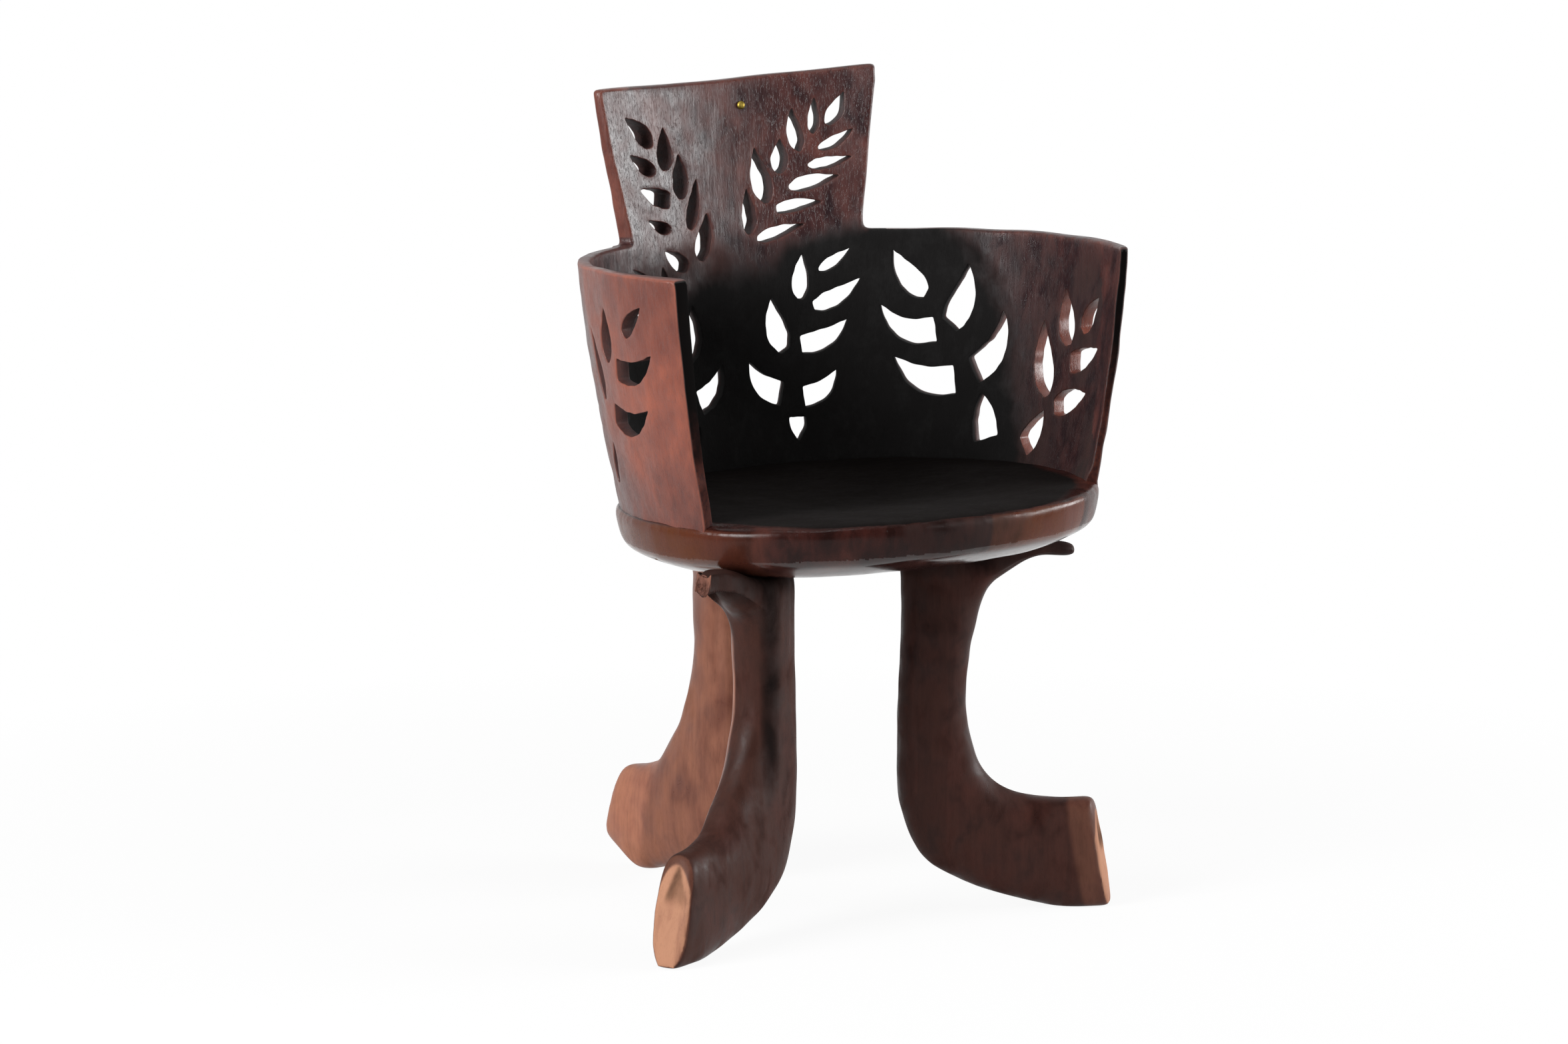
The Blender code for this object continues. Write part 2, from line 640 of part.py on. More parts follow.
def make_leg(name, root, seat, materials):
    """One leg with its tenon, its wedge and its mortise in the seat."""
    share_x, share_y, foot_compass, horn_compass, fill = LEGS[name]
    place = Matrix.Translation((share_x * SEAT_RADIUS, share_y * SEAT_RADIUS, 0))
    matrix = place @ Matrix.Rotation(math.radians(foot_compass) - math.pi / 2, 4, "Z")
    twist = math.radians(horn_compass - foot_compass)
    to_leg = matrix.inverted()
    seat_up = Vector((-math.sin(SEAT_LEAN), 0, math.cos(SEAT_LEAN)))
    on_plane = Vector((0, 0, SEAT_HEIGHT)) - seat_up * (SEAT_THICKNESS + FIT_GAP)
    normal = to_leg.to_3x3() @ seat_up
    point = to_leg @ on_plane

    def under(out):
        return point.z - (normal.x * (out - point.x) - normal.y * point.y) / normal.z

    stations = leg_stations(under, fill)
    inner = [Vector(station[0]) for station in stations]
    outer = [Vector(station[1]) for station in stations]
    thickness = [station[2] for station in stations]
    turns = [twist * min(max(edge.y / under(0), 0.0), 1.0) ** HORN_TURN for edge in inner]
    last = len(stations) - 1
    rings = []
    for k in range(last):
        places = (max(k - 1, 0), k, k + 1, min(k + 2, last))
        for step in range(LEG_STEPS):
            share = step / LEG_STEPS
            values = [blend(*(row[i] for i in places), share) for row in (inner, outer, thickness, turns)]
            rings.append(leg_ring(*values))
    rings.append(leg_ring(inner[-1], outer[-1], thickness[-1], turns[-1]))
    bm = loft(rings)
    trim(bm, point, normal)
    trim(bm, Vector((0, 0, 0)), Vector((0, 0, -1)))
    leg = make_object(f"leg_{name}", bm, root, materials["leg"], matrix)

    shoulder = under(0)
    top = shoulder + TENON_LENGTH
    x, y = TENON_WIDTH / 2, TENON_THICKNESS / 2
    tenon = make_cutter(f"tenon_{name}", box((-x, -y, shoulder - TENON_LENGTH), (x, y, top)), root, matrix)
    combine(leg, tenon, "UNION")
    x, y = x + FIT_GAP, y + FIT_GAP
    low = shoulder - TENON_LENGTH
    mortise = box((-x, -y, low), (x, y, top + FIT_GAP))
    combine(seat, make_cutter(f"mortise_{name}", mortise, root, matrix), "DIFFERENCE")

    toe = top - FOX_WEDGE_LENGTH
    make_object(f"fox_wedge_{name}",
                wedge(toe, top, FOX_WEDGE_TOE, FOX_WEDGE_HEAD, TENON_THICKNESS),
                root, materials["wedge"], matrix)
    kerf = wedge(toe - FIT_GAP, top + FIT_GAP, FOX_WEDGE_TOE + 2 * FIT_GAP,
                 FOX_WEDGE_HEAD + 2 * FIT_GAP, 2 * TENON_THICKNESS)
    combine(leg, make_cutter(f"kerf_{name}", kerf, root, matrix), "DIFFERENCE")


def make_tack(frame, shell, material):
    """The small domed brass tack on the head panel's face."""
    lean = math.atan(HEAD_LEAN / HEAD_HEIGHT)
    place = Matrix.Translation(shell_point(TACK_ANGLE * RIM_RADIUS, TACK_HEIGHT, WALL))
    matrix = place @ Matrix.Rotation(-TACK_ANGLE, 4, "Z") @ Matrix.Rotation(math.pi / 2 - lean, 4, "X")
    profile = [(TACK_SHANK / 2, -TACK_LENGTH), (TACK_SHANK / 2, TACK_SEAT_GAP)]
    for k in range(ROUND_STEPS + 1):
        turn = math.pi / 2 * k / (ROUND_STEPS + 1)
        radius = TACK_HEAD / 2 * math.cos(turn)
        profile.append((radius, TACK_SEAT_GAP + TACK_DOME * math.sin(turn)))
    rings = []
    for radius, height in profile:
        turns = [2 * math.pi * k / TACK_SIDES for k in range(TACK_SIDES)]
        rings.append([(radius * math.cos(turn), radius * math.sin(turn), height) for turn in turns])
    make_object("brass_tack", loft(rings), frame, material, matrix)
    hole = rod(TACK_SHANK / 2 + FIT_GAP, -TACK_LENGTH - FIT_GAP, TACK_LENGTH, TACK_SIDES)
    combine(shell, make_cutter("tack_cutter", hole, frame, matrix), "DIFFERENCE")


def centre_on_floor(root):
    """Move the chair so that the middle of its footprint is the origin."""
    bpy.context.view_layer.update()
    depsgraph = bpy.context.evaluated_depsgraph_get()
    corners = []
    for piece in bpy.data.objects:
        if piece.type == "MESH" and not piece.hide_render:
            evaluated = piece.evaluated_get(depsgraph)
            corners += [evaluated.matrix_world @ vertex.co for vertex in evaluated.data.vertices]
    for axis in (0, 1):
        values = [corner[axis] for corner in corners]
        root.location[axis] = -(min(values) + max(values)) / 2


def build():
    """Make the chair."""
    clear_scene()
    seat_wood = make_material("dark seat wood", (0.060, 0.026, 0.017), 0.42)
    shell_wood = make_material("red-brown back wood", (0.110, 0.045, 0.028), 0.38)
    leg_woods = {name: make_material(f"leg wood {name}", (0.085, 0.032, 0.020), 0.36) for name in LEGS}
    wedge_wood = make_material("pale wedge wood", (0.45, 0.28, 0.14), 0.60)
    peg_wood = make_material("hard peg wood", (0.20, 0.10, 0.05), 0.55)
    brass = make_material("brass", (0.80, 0.55, 0.18), 0.30, 1.0)

    root = make_empty("chair")
    lean = Matrix.Translation((0, 0, SEAT_HEIGHT)) @ Matrix.Rotation(-SEAT_LEAN, 4, "Y")
    frame = make_empty("seat_frame", root, lean)
    seat = make_seat(frame, seat_wood)
    shell = make_shell(frame, shell_wood)
    combine(seat, make_housing_cutter(frame), "DIFFERENCE")
    make_pegs(frame, seat, shell, peg_wood)
    for name in LEGS:
        make_leg(name, root, seat, {"leg": leg_woods[name], "wedge": wedge_wood})
    make_tack(frame, shell, brass)
    centre_on_floor(root)


build()
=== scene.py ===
import math

import bmesh
import bpy
import numpy as np
from mathutils import Matrix, Vector
from mathutils.geometry import delaunay_2d_cdt


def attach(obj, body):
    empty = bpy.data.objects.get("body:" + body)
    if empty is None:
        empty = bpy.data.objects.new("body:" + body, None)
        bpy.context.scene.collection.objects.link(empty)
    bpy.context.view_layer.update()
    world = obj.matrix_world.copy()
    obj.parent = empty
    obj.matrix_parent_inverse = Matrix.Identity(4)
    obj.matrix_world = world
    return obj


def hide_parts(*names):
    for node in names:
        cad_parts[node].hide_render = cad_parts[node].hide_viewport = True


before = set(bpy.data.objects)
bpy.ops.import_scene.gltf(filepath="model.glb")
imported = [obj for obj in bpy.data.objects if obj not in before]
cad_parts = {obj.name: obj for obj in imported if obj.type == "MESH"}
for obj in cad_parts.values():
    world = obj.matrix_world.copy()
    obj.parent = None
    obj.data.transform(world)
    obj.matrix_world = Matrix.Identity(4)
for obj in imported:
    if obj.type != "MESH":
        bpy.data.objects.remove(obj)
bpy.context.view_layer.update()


# Legs: three thick legs of dark hardwood, hewn to a C with a horn under the seat and a foot along the
# floor. Adzed, scraped and waxed for years; the feet are sawn off flat and rubbed down to pale wood.
# Sizes are in metres: width of the mesh's faces, strokes of scraping, depth and length of what they leave
LEG_GRAIN = 0.0017
LEG_SCRAPING = 55
LEG_UNEVEN = 0.0005
LEG_UNEVEN_LENGTH = 0.045
# Where each shaft stands, and where its foot points, in degrees from the front
LEG_STANDS = {
    "front_left": (-0.1238, -0.1348, -59.0),
    "front_right": (0.0942, -0.0919, 67.0),
    "rear": (-0.0520, 0.0996, 192.0),
}
# A pair of numbers tells where a change begins and where it is complete: metres out from the shaft, up
# from the floor (or down, with a minus) or past the toe, or the share of a direction that a face looks in
SAWN_HORN = "front_left"
HORN_REACH = (0.045, 0.110)
HORN_LEVEL = (0.29, 0.33)
HORN_TOP = (0.340, 0.366)
HORN_SHIFT = np.array([-0.010, 0.0, 0.0])
HORN_LIFT = 0.026
HORN_FACE = np.array([-0.967, -0.085, 0.240])
HORN_FACE_PLACE = np.array([-0.243, -0.233, 0.357])
HORN_THINNING = {"front_left": 0.014, "front_right": 0.008, "rear": 0.0}
HORN_TIP_KEPT = {"front_left": 0.0, "front_right": 1.0, "rear": 0.0}
HORN_TIP = (0.09, 0.14)
HORN_NECK = (0.035, 0.065)
HORN_NECK_LEVEL = (0.28, 0.32)
LOOKING_DOWN = (0.1, 0.7)
FOOT_REACH = 0.188
FOOT_TOP = 0.135
FOOT_END = (-0.060, -0.015)
FOOT_TIP = (-0.050, 0.005)
FOOT_SOLE = (-0.070, 0.0)
FOOT_SLANT = {"front_left": 0.236, "front_right": 0.178, "rear": 0.236}
FOOT_SKEW = {"front_left": 0.0, "front_right": 0.26, "rear": 0.0}
FOOT_STRETCH = {"front_left": 0.001, "front_right": 0.0, "rear": 0.012}
FOOT_ROUNDING = {"front_left": 4, "front_right": 4, "rear": 240}
FOOT_RISE = {"front_left": 0.0, "front_right": 0.0, "rear": 0.022}
# The sawn end of a foot is a tall oval of pale end grain, with a stain in its upper half
SAWN_DEPTH = 0.004
SAWN_FACING = (0.70, 0.88)
SAWN_HALF_WIDTH = 0.0235
SAWN_HALF_HEIGHT = 0.064
SAWN_MIDDLE = 0.040
SAWN_EDGE = (-1.0, -0.93)
STAIN_ASIDE = 0.003
STAIN_TAPER = 0.35
STAIN_EDGE = (-0.042, -0.034)
STAIN_LEVEL = (0.050, 0.075)
STAIN_SOOT = 0.45
# How far up from its end a foot is rubbed, how bare it is there, and how faded and sooty the leg is
LEG_RUBBED = {"front_left": 0.004, "front_right": 0.028, "rear": 0.085}
RUBBED_EDGE = 0.75
LEG_BARE = {"front_left": 0.4, "front_right": 0.32, "rear": 1.0}
LEG_FADED = {"front_left": 0.10, "front_right": 0.06, "rear": 0.57}
LEG_SOOT = {"front_left": 0.30, "front_right": 0.28, "rear": 0.15}
# Painted shade from the seat on the tops of the legs: where it begins and ends, and how dark it is
UNDER_SEAT = (0.315, 0.375)
UNDER_SEAT_SHADE = 0.45
HORN_END_FADED = 0.5
# The front left leg has a painted sheen up the arris of its shaft and a painted shade streak beside it
CROSSWISE = np.array([0.889, -0.457, 0.0])
SHAFT_FOOT = (0.09, 0.16)
SHAFT_TOP = (-0.335, -0.29)
ARRIS_FACING = (0.84, 0.96)
ARRIS_SHEEN = 0.6
STREAK_PLACE = 0.006
STREAK_HALF_WIDTH = 0.026
STREAK_LEVEL = (0.07, 0.20)
STREAK_SHADE = 0.56
# Scraping: how far one stroke levels a flat, how much of that an edge takes, and what counts as flat
STROKE = 0.5
EDGE_SCRAPED = 0.12
FLATNESS = (0.74, 0.90)
LAST_STROKES = 3
LAST_STROKE = 0.4
SHRINKAGE = 0.3
CREST_ROUNDS = 5
# Handwork is uneven in this many waves, each so much shorter or longer than the length asked for
WAVES = 9
WAVE_SPREAD = (0.7, 1.5)
WAVE_SUM = 4.0


def linear(code):
    """An sRGB hex colour as the linear values that a shader takes."""
    channels = [int(code[k:k + 2], 16) / 255 for k in (1, 3, 5)]
    return [c / 12.92 if c <= 0.04045 else ((c + 0.055) / 1.055) ** 2.4 for c in channels] + [1.0]


def add(tree, kind, inputs=None, **settings):
    """Add a node with its settings; an input is a value, or the socket that feeds it."""
    node = tree.nodes.new(kind)
    for name, value in settings.items():
        setattr(node, name, value)
    for key, value in (inputs or {}).items():
        if isinstance(value, bpy.types.NodeSocket):
            tree.links.new(value, node.inputs[key])
        else:
            node.inputs[key].default_value = value
    return node


def waves(places, length, seed):
    """Slow unevenness of handwork at some places, from about -1 to 1 and a length long."""
    draw = np.random.default_rng(seed)
    total = np.zeros(len(places))
    for _ in range(WAVES):
        heading = draw.normal(size=places.shape[1])
        heading *= draw.uniform(*WAVE_SPREAD) * 2 * math.pi / (length * np.linalg.norm(heading))
        total += np.sin(places @ heading + draw.uniform(0, 2 * math.pi))
    return total / WAVE_SUM


def read(mesh, name, width):
    """One property of all vertices as an array."""
    values = np.empty(len(mesh.vertices) * width)
    mesh.vertices.foreach_get(name, values)
    return values.reshape(-1, width)


def mark(mesh, name, values):
    """Keep one number per vertex for the materials."""
    attribute = mesh.attributes.new(name, "FLOAT", "POINT")
    attribute.data.foreach_set("value", np.asarray(values, np.float32))


def ramp(values, low, high):
    """Rise smoothly from 0 at low to 1 at high."""
    share = np.clip((values - low) / (high - low), 0, 1)
    return share * share * (3 - 2 * share)


def averaging(mesh):
    """A function that averages one row of values per vertex over the vertex's neighbours."""
    pairs = np.empty(len(mesh.edges) * 2, np.int64)
    mesh.edges.foreach_get("vertices", pairs)
    starts, ends = pairs.reshape(-1, 2).T
    starts, ends = np.concatenate([starts, ends]), np.concatenate([ends, starts])
    count = len(mesh.vertices)
    links = np.bincount(ends, minlength=count)[:, None]

    def around(values):
        sums = [np.bincount(ends, values[starts, k], count) for k in range(values.shape[1])]
        return np.stack(sums, 1) / links

    return around


def carve(name, mesh, grain, scraping, uneven, length, seed):
    """Turn a plain solid into hand-worked wood: fine even faces, flats scraped smooth, crisp worn edges."""
    block = bpy.data.objects.new(name, mesh)
    bpy.context.scene.collection.objects.link(block)
    remesh = block.modifiers.new("even faces", "REMESH")
    remesh.mode = "VOXEL"
    remesh.voxel_size = grain
    solid = block.evaluated_get(bpy.context.evaluated_depsgraph_get())
    carved = bpy.data.meshes.new_from_object(solid)
    block.modifiers.clear()
    block.data = carved

    around = averaging(carved)
    normals = read(carved, "normal", 3)
    flatness = np.linalg.norm(around(around(around(normals))), axis=1)
    scrape = EDGE_SCRAPED + (1 - EDGE_SCRAPED) * ramp(around(flatness[:, None]), *FLATNESS)
    places = read(carved, "co", 3)
    for _ in range(scraping):
        places += STROKE * scrape * (around(places) - places)
    for _ in range(LAST_STROKES):
        places += LAST_STROKE * (around(places) - places)
    carved.vertices.foreach_set("co", places.ravel())
    carved.update()
    normals = read(carved, "normal", 3)
    dents = uneven * waves(places, length, seed) * scrape[:, 0]
    places += normals * (SHRINKAGE * grain + dents)[:, None]
    carved.vertices.foreach_set("co", places.ravel())

    spread = places
    for _ in range(CREST_ROUNDS):
        spread = around(spread)
    crest = np.sum(normals * (places - spread), axis=1) / grain
    mark(carved, "edge", np.clip(around(crest[:, None])[:, 0], -1, 1))
    carved.shade_smooth()
    return block


# Figure of the wood and traces of use: width across and length along the upright grain, and detail. Real
# pores are finer than a pixel, so they are drawn 1 mm wide. Wood under wax has an IOR of about 1.54.
WOOD_FIGURE = {
    "bands": (0.020, 0.200, 3.0),
    "streaks": (0.005, 0.050, 5.0),
    "pores": (0.0010, 0.008, 2.0),
    "clouds": (0.060, 0.080, 2.0),
    "blotches": (0.018, 0.030, 2.5),
    "specks": (0.005, 0.005, 4.0),
}
WOOD_IOR = 1.54


def waxed_wood(name, shade, body, light, worn, soot_and_shade, cut, rub, gloss, shine, relief=0.00025):
    """Old hardwood under wax and smoke: dark streaks along an upright grain, rubbed edges, matt cuts.

    Rub is how far the edges wear to pale wood, gloss the roughness of the clean wax, shine its specular
    level, and relief the depth of the figure in metres.
    """
    material = bpy.data.materials.new(name)
    material.use_nodes = True
    tree = material.node_tree
    shader = tree.nodes["Principled BSDF"]
    place = add(tree, "ShaderNodeTexCoord").outputs["Object"]
    found = {}
    for key, (width, length, detail) in WOOD_FIGURE.items():
        stretch = add(tree, "ShaderNodeMapping",
                      {"Vector": place, "Scale": (1 / width, 1 / width, 1 / length)})
        noise = add(tree, "ShaderNodeTexNoise",
                    {"Vector": stretch.outputs[0], "Scale": 1.0, "Detail": detail,
                     "Roughness": 0.6, "Distortion": 0.4})
        found[key] = noise.outputs["Fac"]
    for key in ("edge", "soot_and_shade", "faded_and_lit", "cut", "open"):
        found[key] = add(tree, "ShaderNodeAttribute", attribute_name=key).outputs["Fac"]

    # Amounts that follow a figure or a mark: where they begin, where they are complete, and their most
    amounts = {
        "blotched": ("blotches", 0.30, 0.70, 1.0),
        "clouded": ("clouds", 0.25, 0.75, 1.0),
        "speckled": ("specks", 0.35, 0.75, 1.0),
        "filled pores": ("pores", 0.30, 0.46, 1.0),
        "dark pores": ("pores", 0.46, 0.30, 0.15),
        "light clouds": ("clouds", 0.44, 0.74, 0.75),
        "dark bands": ("bands", 0.60, 0.36, 0.35),
        "dark streaks": ("streaks", 0.58, 0.36, 0.15),
        "fresh blotches": ("blotches", 0.72, 0.22, 0.45),
        "fresh clouds": ("clouds", 0.66, 0.32, 0.60),
        "fresh streaks": ("streaks", 0.60, 0.34, 0.15),
        "sawn bands": ("bands", 0.40, 0.70, 0.5),
        "worn edges": ("edge", 0.15, 0.80, rub),
        "worn specks": ("specks", 0.30, 0.60, 1.0),
        "crease_darkening": ("edge", -0.25, -0.80, 0.8),
        "smoked": ("soot_and_shade", 0.0, 0.20, 1.0),
    }
    for key, (source, low, high, most) in amounts.items():
        amount = add(tree, "ShaderNodeMapRange",
                     {"Value": found[source], "From Min": low, "From Max": high, "To Max": most},
                     interpolation_type="SMOOTHSTEP")
        found[key] = amount.outputs["Result"]

    # Smoke lies where the mesh is marked for it, thicker in the clouds and blotches; that mark also carries
    # painted shade on the legs and the seat's rim. The concave creases are darker
    smoke = found["soot_and_shade"]
    for key, share in (("clouded", 0.30), ("blotched", 0.10)):
        thicker = add(tree, "ShaderNodeMath", {0: found[key], 1: share, 2: smoke},
                      operation="MULTIPLY_ADD", use_clamp=True)
        smoke = thicker.outputs["Value"]
    smoke = add(tree, "ShaderNodeMapRange", {"Value": smoke, "From Min": 0.25, "From Max": 0.88},
                interpolation_type="SMOOTHSTEP").outputs["Result"]
    found["thick smoke"] = smoke
    pairs = {
        "smoke": ("thick smoke", "MULTIPLY", "smoked"),
        "smoke_and_creases": ("smoke", "MAXIMUM", "crease_darkening"),
        "rubbed": ("worn edges", "MULTIPLY", "worn specks"),
        "bare": ("cut", "MAXIMUM", "open"),
    }
    for key, (first, operation, second) in pairs.items():
        both = add(tree, "ShaderNodeMath", {0: found[first], 1: found[second]}, operation=operation)
        found[key] = both.outputs["Value"]
    # Cut walls are darkened toward the shade colour: painted shade in the piercings
    cut_wall_shade = add(tree, "ShaderNodeMath", {0: found["open"], 1: 0.75}, operation="MULTIPLY")
    found["cut_wall_shade"] = cut_wall_shade.outputs["Value"]

    # Colours: each one lies over those before it, by its amount; a mix takes these in sockets 7, 6 and 0
    colours = {code: linear(code) for code in (shade, body, light, worn, soot_and_shade, cut)}
    grounds = {
        "old": (shade, ("blotched", body), ("light clouds", light), ("dark bands", shade),
                ("dark streaks", shade)),
        "fresh": (worn, ("fresh blotches", light), ("fresh clouds", light), ("fresh streaks", body)),
        "sawn": (cut, ("sawn bands", light)),
        "wood": ("old", ("faded_and_lit", "fresh"), ("cut_wall_shade", shade), ("rubbed", worn), ("cut", "sawn"),
                 ("smoke_and_creases", soot_and_shade), ("dark pores", soot_and_shade)),
    }
    for ground, (lowest, *layers) in grounds.items():
        colour = colours[lowest]
        for key, above in layers:
            mixed = add(tree, "ShaderNodeMix", {0: found[key], 6: colour, 7: colours[above]},
                        data_type="RGBA")
            colour = mixed.outputs[2]
        colours[ground] = colour
    tree.links.new(colours["wood"], shader.inputs["Base Color"])

    # Smoke and bare cuts take the gloss off; the pores, streaks and blotches can be felt
    roughness = gloss
    for key, share in (("clouded", 0.10), ("speckled", 0.06), ("blotched", 0.10), ("smoke", 0.60),
                       ("bare", 0.30)):
        duller = add(tree, "ShaderNodeMath", {0: found[key], 1: share, 2: roughness},
                     operation="MULTIPLY_ADD", use_clamp=True)
        roughness = duller.outputs["Value"]
    tree.links.new(roughness, shader.inputs["Roughness"])
    height = 0.0
    for key, share in (("filled pores", 0.15), ("streaks", 0.45), ("blotches", 0.40)):
        higher = add(tree, "ShaderNodeMath", {0: found[key], 1: share, 2: height},
                     operation="MULTIPLY_ADD", use_clamp=True)
        height = higher.outputs["Value"]
    bump = add(tree, "ShaderNodeBump", {"Height": height, "Strength": 1.0, "Distance": relief})
    tree.links.new(bump.outputs["Normal"], shader.inputs["Normal"])
    shader.inputs["IOR"].default_value = WOOD_IOR
    shader.inputs["Specular IOR Level"].default_value = shine
    return material


# Hewn hardwood, smoked and waxed: the eye gets a dark red-brown with a dull shine on the scraped flats,
# paler wood where floors and hands rub it, and bare end grain at the sawn feet
leg_wood = waxed_wood("smoked and waxed leg wood", shade="#1e0f0e", body="#3a1f1b", light="#5a302a",
                      worn="#b57a60", soot_and_shade="#0f0706", cut="#a2755c", rub=0.35, gloss=0.25, shine=0.11)
for number, (leg, (stand_x, stand_y, compass)) in enumerate(LEG_STANDS.items()):
    node = f"leg_{leg}"
    carved_leg = carve(f"carved_{node}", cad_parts[node].data.copy(), LEG_GRAIN, LEG_SCRAPING,
                       LEG_UNEVEN, LEG_UNEVEN_LENGTH, seed=number)
    stand = np.array([stand_x, stand_y, 0.0])
    outward = np.array([math.sin(math.radians(compass)), -math.cos(math.radians(compass)), 0.0])
    sideways = np.array([-outward[1], outward[0], 0.0])
    toe = outward * FOOT_REACH + stand
    leg_places = read(carved_leg.data, "co", 3)
    heights = leg_places[:, 2]
    on_foot = heights < FOOT_TOP

    # The horn is thinned from below; one is also moved, raised and sawn flat at its end
    reach = np.hypot(leg_places[:, 0] - stand_x, leg_places[:, 1] - stand_y)
    on_horn = ramp(reach, *HORN_REACH) * ramp(heights, *HORN_LEVEL) * (leg == SAWN_HORN)
    under_horn = ramp(-read(carved_leg.data, "normal", 3)[:, 2], *LOOKING_DOWN)
    under_horn *= ramp(reach, *HORN_NECK) * ramp(heights, *HORN_NECK_LEVEL)
    under_horn *= 1 - HORN_TIP_KEPT[leg] * ramp(reach, *HORN_TIP)
    heights += HORN_THINNING[leg] * under_horn
    leg_places += HORN_SHIFT * on_horn[:, None]
    heights += HORN_LIFT * on_horn * ramp(heights, *HORN_TOP)
    beyond = np.clip((leg_places - HORN_FACE_PLACE) @ HORN_FACE, 0, None) * (on_horn > 0.5)
    leg_places -= HORN_FACE * beyond[:, None]

    # The foot is stretched, skewed, raised and rounded at its end
    at_end = (ramp((leg_places - toe) @ outward, *FOOT_END) * on_foot)[:, None]
    skew = FOOT_SKEW[leg] * (leg_places - toe) @ sideways
    leg_places += outward * at_end * (FOOT_STRETCH[leg] + skew)[:, None]
    low_end = ramp((leg_places - toe) @ outward, *FOOT_TIP) * ramp(-heights, *FOOT_SOLE)
    heights += FOOT_RISE[leg] * low_end
    around = averaging(carved_leg.data)
    for _ in range(FOOT_ROUNDING[leg]):
        leg_places += STROKE * at_end * (around(leg_places) - leg_places)
    carved_leg.data.vertices.foreach_set("co", leg_places.ravel())
    carved_leg.data.update()

    # Marks for the material: the sawn end, rubbed and faded wood with a painted sheen on the arris, then soot
    # with painted shade under the seat and in a streak
    leg_normals = read(carved_leg.data, "normal", 3)
    sawn_face = outward - FOOT_SKEW[leg] * sideways + np.array([0.0, 0.0, FOOT_SLANT[leg]])
    sawn_face /= np.linalg.norm(sawn_face)
    from_end = (toe + outward * FOOT_STRETCH[leg] - leg_places) @ sawn_face
    aside = (leg_places - toe) @ sideways
    from_middle = np.hypot(aside / SAWN_HALF_WIDTH, (heights - SAWN_MIDDLE) / SAWN_HALF_HEIGHT)
    sawn = ramp(leg_normals @ sawn_face, *SAWN_FACING) * (from_end < SAWN_DEPTH)
    sawn *= ramp(-from_middle, *SAWN_EDGE)
    mark(carved_leg.data, "cut", sawn)
    rubbed = ramp(-from_end, -LEG_RUBBED[leg], -RUBBED_EDGE * LEG_RUBBED[leg]) * on_foot
    faded_and_lit = LEG_FADED[leg] + (LEG_BARE[leg] - LEG_FADED[leg]) * rubbed
    horn_end = beyond > 0
    # A painted sheen up the front left leg's arris, drawn as faded wood
    arris = ramp(-leg_normals @ CROSSWISE, *ARRIS_FACING) * (leg == SAWN_HORN)
    arris *= ramp(heights, *SHAFT_FOOT) * ramp(-heights, *SHAFT_TOP)
    faded_and_lit = np.maximum(np.maximum(faded_and_lit, HORN_END_FADED * horn_end), ARRIS_SHEEN * arris)
    mark(carved_leg.data, "faded_and_lit", faded_and_lit)
    # A painted shade streak beside the arris, carried in the soot mark
    across = (leg_places - stand) @ CROSSWISE
    shade_streak = ramp(-np.abs(across - STREAK_PLACE), -STREAK_HALF_WIDTH, 0.0) * (leg == SAWN_HORN)
    shade_streak *= ramp(heights, *STREAK_LEVEL)
    # Painted shade under the seat, over the tops of the legs and their horns
    seat_shadow_painted = UNDER_SEAT_SHADE * ramp(heights, *UNDER_SEAT)
    soot_and_painted_shade = np.maximum(np.maximum(seat_shadow_painted, LEG_SOOT[leg]), STREAK_SHADE * shade_streak)
    soot_and_painted_shade *= (1 - sawn) * (1 - horn_end) * (1 - arris)
    stain = ramp(-np.abs(aside - STAIN_ASIDE) - STAIN_TAPER * heights, *STAIN_EDGE)
    stain *= ramp(heights, *STAIN_LEVEL)
    mark(carved_leg.data, "soot_and_shade", np.maximum(soot_and_painted_shade, STAIN_SOOT * stain * sawn))
    carved_leg.data.materials.clear()
    carved_leg.data.materials.append(leg_wood)
    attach(carved_leg, "root")
    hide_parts(node)


# Fox wedges: three raw split wedges that spread the blind tenons inside the seat. They are never seen
# once the legs are knocked home, and keep the shape of the solids.

# Split and left raw: the eye gets a pale straw brown, matt, with the fibres showing
wedge_wood = waxed_wood("raw split wedge wood", shade="#8c6642", body="#b18a5e", light="#c6a177",
                        worn="#d2b187", soot_and_shade="#5e4028", cut="#c6a177", rub=0.3, gloss=0.45, shine=0.3)
for leg in LEG_STANDS:
    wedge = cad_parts[f"fox_wedge_{leg}"]
    wedge.data.materials.clear()
    wedge.data.materials.append(wedge_wood)


# Seat: one thick round slab of the same hardwood, hollowed to a shallow dish and cut straight at the
# front. Sitting has polished the dish black; a strip of pale sapwood shows in the rim.
SEAT_MIDDLE = Vector((0.01477, -0.07684, 0.440))
SEAT_TURN = Matrix.Rotation(-math.radians(2.4), 3, "Y")
SEAT_GRAIN = 0.0024
SEAT_SCRAPING = 40
SEAT_UNEVEN = 0.0005
SEAT_UNEVEN_LENGTH = 0.060
WALL_RADIUS = 0.247
WALL = 0.014
WALL_SWEEP = math.radians(113.5)
HOUSING_DEPTH = 0.010
TONGUE_PROUD = 0.0005
TONGUE_SUNK = 0.001
TONGUE_STEPS = 120
DISH_RADIUS = 0.235
DISH_EDGE = 0.03
DISH_BACK = (0.0, 0.1)
DISH_FACING = (0.80, 0.93)
# Turns of the rim are counted in radians from the front; painted shade darkens the rim at the front
RIM_FRONT_SHADE = 0.32
RIM_SHADE_LEVEL = (-0.044, -0.036)
RIM_SHADE_LEFT = (-0.55, -0.20)
RIM_SHADE_RIGHT = (-0.5, -0.3)
RIM_FACING = (-0.75, -0.55)
